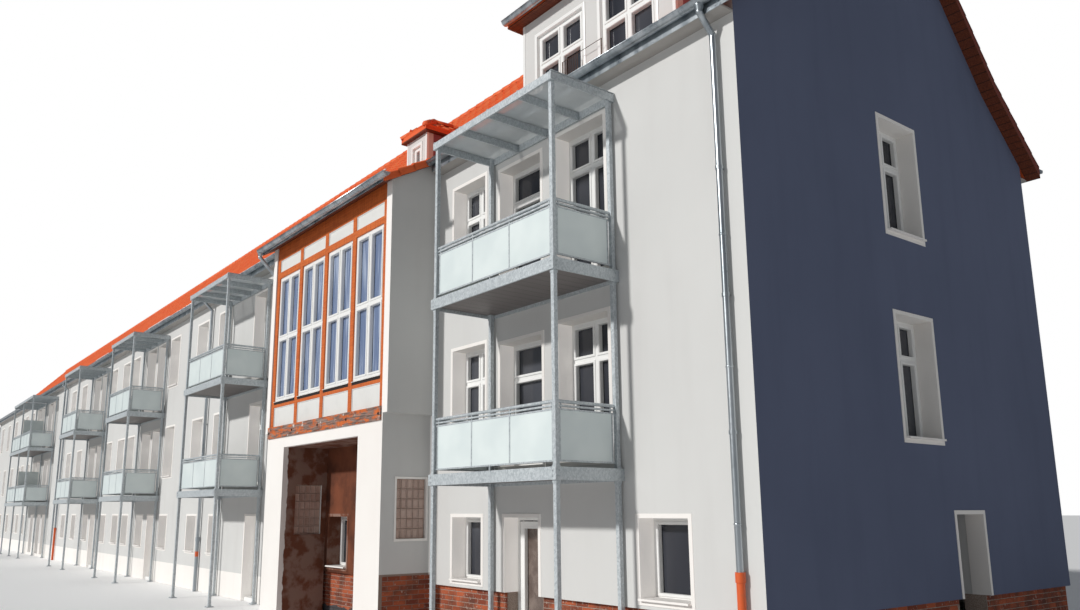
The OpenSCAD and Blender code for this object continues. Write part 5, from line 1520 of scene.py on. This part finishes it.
# %% [markdown]
# The bay's roof is one slope of boards and tiles. The side walls rise to it, and a
# sloping brown board closes the eaves behind the gutter. Each is one outline in depth
# and height carried along the front, so all share the roof's line.
# %% Bay eaves
SLAB_THICK, PLATE_DEPTH, SOFFIT_THICK, SOFFIT_IN = 0.055, 0.06, 0.0075, 0.002
TIMBER_TOP, TIMBER_FACE = 4.1302, BAY_FRONT + 0.014


def under_roof(depth):
    """Height of the underside of the bay's roof at a depth."""
    return FRONT_EAVE + ROOF_TOP + depth * BAY_SLOPE - SLAB_THICK


def along_front(s0, s1, low, high, front, back):
    """A piece between two lines of height, from front to back and from s0 to s1."""
    outline = np.array([[front, low(front)], [front, high(front)], [back, high(back)],
                        [back, low(back)]])
    return rods(spot(s0, 0.0, 0.0), spot(s1, 0.0, 0.0), outline)


bay_slab = put("bay_roof_slab",
               along_front(BAY - BAY_ROOF_HALF, BAY + BAY_ROOF_HALF, under_roof,
                           lambda d: under_roof(d) + SLAB_THICK, BAY_EAVE, -CLEAR),
               tile_clay)
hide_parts("bay_roof")
tops = [along_front(BAY + a, BAY + b, lambda d: TIMBER_TOP, lambda d: under_roof(d) - CLEAR,
                    BAY_FRONT, -CLEAR)
        for a, b in ((-BAY_HALF, -BAY_INNER), (BAY_INNER, BAY_HALF))]
put("bay_side_tops", joined(tops), grey_render)
put("bay_top_plate", along_front(BAY - BAY_INNER, BAY + BAY_INNER, lambda d: TIMBER_TOP,
                                 lambda d: under_roof(d) - CLEAR, TIMBER_FACE,
                                 TIMBER_FACE + PLATE_DEPTH), bay_timber)
soffit_half = BAY_ROOF_HALF - SOFFIT_IN
put("bay_soffit", along_front(BAY - soffit_half, BAY + soffit_half,
                              lambda d: under_roof(d) - 0.0005 - SOFFIT_THICK,
                              lambda d: under_roof(d) - 0.0005, BAY_EAVE + SOFFIT_IN,
                              -SOFFIT_IN), stained_wood)

# %% [markdown]
# At the bay's verges each course ends in a tile with a side flap that covers the roof's
# edge. The flaps are thin bevelled plates along the slope, each a little lifted at its
# tail so that the edge of the roof shows the same steps as its surface.
# %% Verge tiles
FLAP_THICK, FLAP_HIGH, FLAP_LIFT, FLAP_LAP = 0.009, 0.062, 0.007, 1.06


def verge_flaps(along, corner_depth, corner_height, run, rise, count):
    """Flaps up one verge, from its corner at the eaves over a level run and a rise."""
    share = np.arange(count) / count
    low = corner_height - FLAP_HIGH / 2
    starts = spot(along, corner_depth + run * share, low + rise * share + FLAP_LIFT)
    ends = spot(along, corner_depth + run * share + run / count * FLAP_LAP,
                low + rise * share + rise / count * FLAP_LAP)
    return rods(starts, ends, flat_outline(FLAP_THICK, FLAP_HIGH, 0.003))


flap_shape = joined([verge_flaps(BAY + side * (BAY_ROOF_HALF - 0.001), BAY_EAVE, bay_low,
                                 -BAY_EAVE, bay_rise, BAY_COURSES[0]) for side in (-1, 1)])
put("verge_tiles", flap_shape, tile_clay,
    shade=np.concatenate([rng.random(len(f)) for f in flap_shape[1]]))

# %% [markdown]
# Snow guards stand above the gutters of the bay and over two balconies: two level rods
# on flat brackets hooked under the tiles. Rods are round bars, brackets thin plates.
# %% Snow guards
GUARD_PITCH, GUARD_END, GUARD_IN = 0.31, 0.04, 0.05
# Height above the tiles and radius of each rod.
GUARD_RODS = ((0.034, 0.004), (0.062, 0.007))
BRACKET_BEHIND, BRACKET_SINK, BRACKET_TOP = 0.008, 0.02, 0.066
GUARDS, GUARD_DEPTH = ((12.45, 13.8), (16.95, 18.2)), -0.06


def snow_guard(s0, s1, depth, surface):
    """Rods and brackets of one guard, at a depth with the tiles' height there."""
    count = max(2, round((s1 - s0) / GUARD_PITCH))
    at = s0 + GUARD_END + np.arange(count + 1) * (s1 - s0 - 2 * GUARD_END) / count
    behind = depth + BRACKET_BEHIND
    parts = [rods(spot(s0, depth, surface + up), spot(s1, depth, surface + up),
                  round_outline(radius, 8)) for up, radius in GUARD_RODS]
    parts.append(rods(spot(at, behind, surface - BRACKET_SINK),
                      spot(at, behind, surface + BRACKET_TOP), flat_outline(0.026, 0.004, 0.001)))
    return parts


guard_parts = snow_guard(BAY - BAY_ROOF_HALF + GUARD_IN, BAY + BAY_ROOF_HALF - GUARD_IN,
                         BAY_EAVE + GUARD_IN, bay_low + GUARD_IN * BAY_SLOPE)
for s0, s1 in GUARDS:
    guard_parts += snow_guard(s0, s1, GUARD_DEPTH, float(main_top(GUARD_DEPTH)))
put("snow_guards", joined(guard_parts), board_white)

# %% [markdown]
# The dormers' windows have raised white surrounds, and their corners have white boards.
# In front of one window of the wide dormer stands a low rail of thin upright bars, with
# a lighter rail running on beside it.
# %% Dormer trims
TRIM = np.array([[-0.03, 0.0], [-0.03, 0.007], [-0.022, 0.009], [0.0, 0.007], [0.003, -0.02]])
rects = []
for d, clear in ((WIDE, CLEAR), (SMALL, 0.0)):
    width, low, high = d["window"]
    rects += [(spot(d["s"] + offset, d["front"] + clear, (low + high) / 2), width, high - low,
               RIGHT, FRONT) for offset in d["windows"]]
put("dormer_trims", frame_rings(rects, TRIM), plastic)

CORNER_BOARD, CORNER_IN, CORNER_BACK = 0.03, 0.012, 0.01
corner_starts, corner_ends = [], []
for d in (WIDE, SMALL):
    for side in (-1, 1):
        corner = (d["s"] + side * (d["half"] - CORNER_IN), d["front"] + CORNER_BACK)
        corner_starts.append(spot(*corner, float(main_top(d["front"])) - 0.03))
        corner_ends.append(spot(*corner, d["eaves"] - 0.016))
put("dormer_corners", rods(np.array(corner_starts), np.array(corner_ends),
                           flat_outline(CORNER_BOARD, CORNER_BOARD, 0.003)), plastic)

RAIL_START, RAIL_END, RAIL_DEPTH = 1.2, 1.66, -0.05
RAIL_FOOT, RAIL_LOW, RAIL_TOP = 4.48, 4.56, 4.71
rail_bars = np.linspace(1.48, 1.655, 8)
rail_posts, rail_levels = [RAIL_START, RAIL_END], [RAIL_LOW, RAIL_TOP]
rail_parts = [rods(spot(rail_bars, RAIL_DEPTH, RAIL_FOOT + 0.02),
                   spot(rail_bars, RAIL_DEPTH, RAIL_TOP), round_outline(0.0035, 6)),
              rods(spot(RAIL_START, RAIL_DEPTH, rail_levels),
                   spot(RAIL_END, RAIL_DEPTH, rail_levels), round_outline(0.0025, 6)),
              rods(spot(rail_posts, RAIL_DEPTH, RAIL_FOOT),
                   spot(rail_posts, RAIL_DEPTH, RAIL_TOP + 0.002), round_outline(0.004, 6))]
put("dormer_rail", joined(rail_parts), dark_iron)

# %% [markdown]
# Each hinged terrace door has glazing beads round its pane. They are attached to the leaf's
# body. The balcony doors and fixed doors have theirs with the sashes.
# %% Leaf beads
PANE_MIDDLE, PANE_WIDTH, PANE_HEIGHT = 0.5655, 0.282, 0.891
LEAF_BEAD = np.array([[-0.004, 0.0], [-0.004, 0.003], [0.004, 0.004], [0.01, 0.0],
                      [0.01, -0.03]])
for number, door in enumerate(HINGED_DOORS, 1):
    centre = spot(door_place(door), REVEAL, PANE_MIDDLE)
    put(f"leaf_beads_{number}",
        frame_rings([(centre, PANE_WIDTH, PANE_HEIGHT, RIGHT, FRONT)], LEAF_BEAD), plastic,
        body=f"terrace_leaf_{number}")

# %% [markdown]
# The sun stands low, to the left behind a viewer in the garden, so the front is lit and
# the painted gable lies in shade. A sun lamp gives parallel light with a small blur at
# the edges of shadows, as hazy weather does; a point lamp would fade along the front.
# %% Sun
SUN_DIRECTION, SUN_STRENGTH, SUN_SPREAD = (0.2, 1.0, -0.53), 2.75, 3.0

scene = bpy.context.scene
scene.view_settings.view_transform = "Standard"

sun_lamp = bpy.data.lights.new("sun", "SUN")
sun_lamp.energy = SUN_STRENGTH
sun_lamp.angle = math.radians(SUN_SPREAD)
sun_lamp.color = (1.0, 0.985, 0.96)
sun = bpy.data.objects.new("sun", sun_lamp)
scene.collection.objects.link(sun)
sun.rotation_mode = "QUATERNION"
ahead = np.array(SUN_DIRECTION) / np.linalg.norm(SUN_DIRECTION)
sun.rotation_quaternion = Vector(ahead).to_track_quat("-Z", "Y")
print("the sun stands", round(-math.degrees(math.asin(ahead[2])), 1), "degrees high")

# %% [markdown]
# A faint, slightly blue surround fills the shadows, as the sky does. The camera sees a
# white backdrop in its place, because a light path node tells the camera's rays from
# the others: so the white behind the block puts no light on it.
# %% Surround
AMBIENT, SKY = 0.20, (0.86, 0.92, 1.0, 1.0)

world = bpy.data.worlds.new("surround")
scene.world = world
world.use_nodes = True
world.node_tree.nodes.clear()
links = world.node_tree.links
path = world.node_tree.nodes.new("ShaderNodeLightPath")
backdrop = world.node_tree.nodes.new("ShaderNodeBackground")
backdrop.inputs["Color"].default_value = (1.0, 1.0, 1.0, 1.0)
fill = world.node_tree.nodes.new("ShaderNodeBackground")
fill.inputs["Color"].default_value = SKY
fill.inputs["Strength"].default_value = AMBIENT
mix = world.node_tree.nodes.new("ShaderNodeMixShader")
out = world.node_tree.nodes.new("ShaderNodeOutputWorld")
links.new(path.outputs["Is Camera Ray"], mix.inputs[0])
links.new(fill.outputs[0], mix.inputs[1])
links.new(backdrop.outputs[0], mix.inputs[2])
links.new(mix.outputs[0], out.inputs["Surface"])
print("strength of the fill light:", AMBIENT)

# %% [markdown] The floor is one large pale square just under the block, which catches
# its shadow.
FLOOR_SIZE, FLOOR_DROP = 400.0, 0.002

floor_mesh = bpy.data.meshes.new("floor")
half = FLOOR_SIZE / 2
floor_mesh.from_pydata([(-half, -half, 0), (half, -half, 0), (half, half, 0), (-half, half, 0)],
                       [], [(0, 1, 2, 3)])
floor = bpy.data.objects.new("floor", floor_mesh)
scene.collection.objects.link(floor)
floor.location.z = start_box[0][2] - FLOOR_DROP
floor_finish = Finish("floor", Roughness=0.95, Specular_IOR_Level=0.1)
floor_mesh.materials.append(floor_finish.look(paint(250, 250, 250)))
print("floor:", FLOOR_SIZE, "metres square")

# %% [markdown]
# The camera stands where the picture was taken, low in the garden beside the painted
# gable. Its place, angles and lens were fitted to points of the picture. The picture's
# own middle lies a little off the lens's axis, which the shift of the lens takes up.
# %% Camera
# Real metres from the gable's front corner, angles in degrees and picture elements.
EYE = (6.512, -8.579, 2.268)
YAW, PITCH, ROLL = 52.903, 11.067, -0.192
FOCAL_PIXELS, CENTRE_PIXELS, PICTURE = 868.13, (512.12, 341.99), (1080, 610)
HALF_SIZE, SENSOR_WIDTH, FARTHEST = 0.5, 36.0, 500.0


def camera_axes(yaw, pitch, roll):
    """Right, up and forward directions from the three angles in degrees."""
    yaw, pitch, roll = (math.radians(v) for v in (yaw, pitch, roll))
    forward = np.array([-math.sin(yaw) * math.cos(pitch),
                        math.cos(yaw) * math.cos(pitch), math.sin(pitch)])
    right = np.array([math.cos(yaw), math.sin(yaw), 0.0])
    up = np.cross(right, forward)
    level = math.cos(roll) * right + math.sin(roll) * up
    return level, -math.sin(roll) * right + math.cos(roll) * up, forward


lens = bpy.data.cameras.new("garden_view")
lens.sensor_fit = "HORIZONTAL"
lens.sensor_width = SENSOR_WIDTH
lens.lens = FOCAL_PIXELS / PICTURE[0] * SENSOR_WIDTH
lens.shift_x = (PICTURE[0] / 2 - CENTRE_PIXELS[0]) / PICTURE[0]
lens.shift_y = (CENTRE_PIXELS[1] - PICTURE[1] / 2) / PICTURE[0]
lens.clip_end = FARTHEST
camera = bpy.data.objects.new("garden_view", lens)
scene.collection.objects.link(camera)
right, up, forward = camera_axes(YAW, PITCH, ROLL)
eye = np.array([BLOCK_LENGTH / 2 + HALF_SIZE * EYE[0],
                HALF_SIZE * EYE[1] - BLOCK_DEPTH / 2, HALF_SIZE * EYE[2]])
pose = np.eye(4)
pose[:3, 0], pose[:3, 1], pose[:3, 2], pose[:3, 3] = right, up, -forward, eye
camera.matrix_world = Matrix(pose.tolist())
scene.camera = camera
print("camera stands at", eye.round(3), "with a lens of", round(lens.lens, 2), "mm")
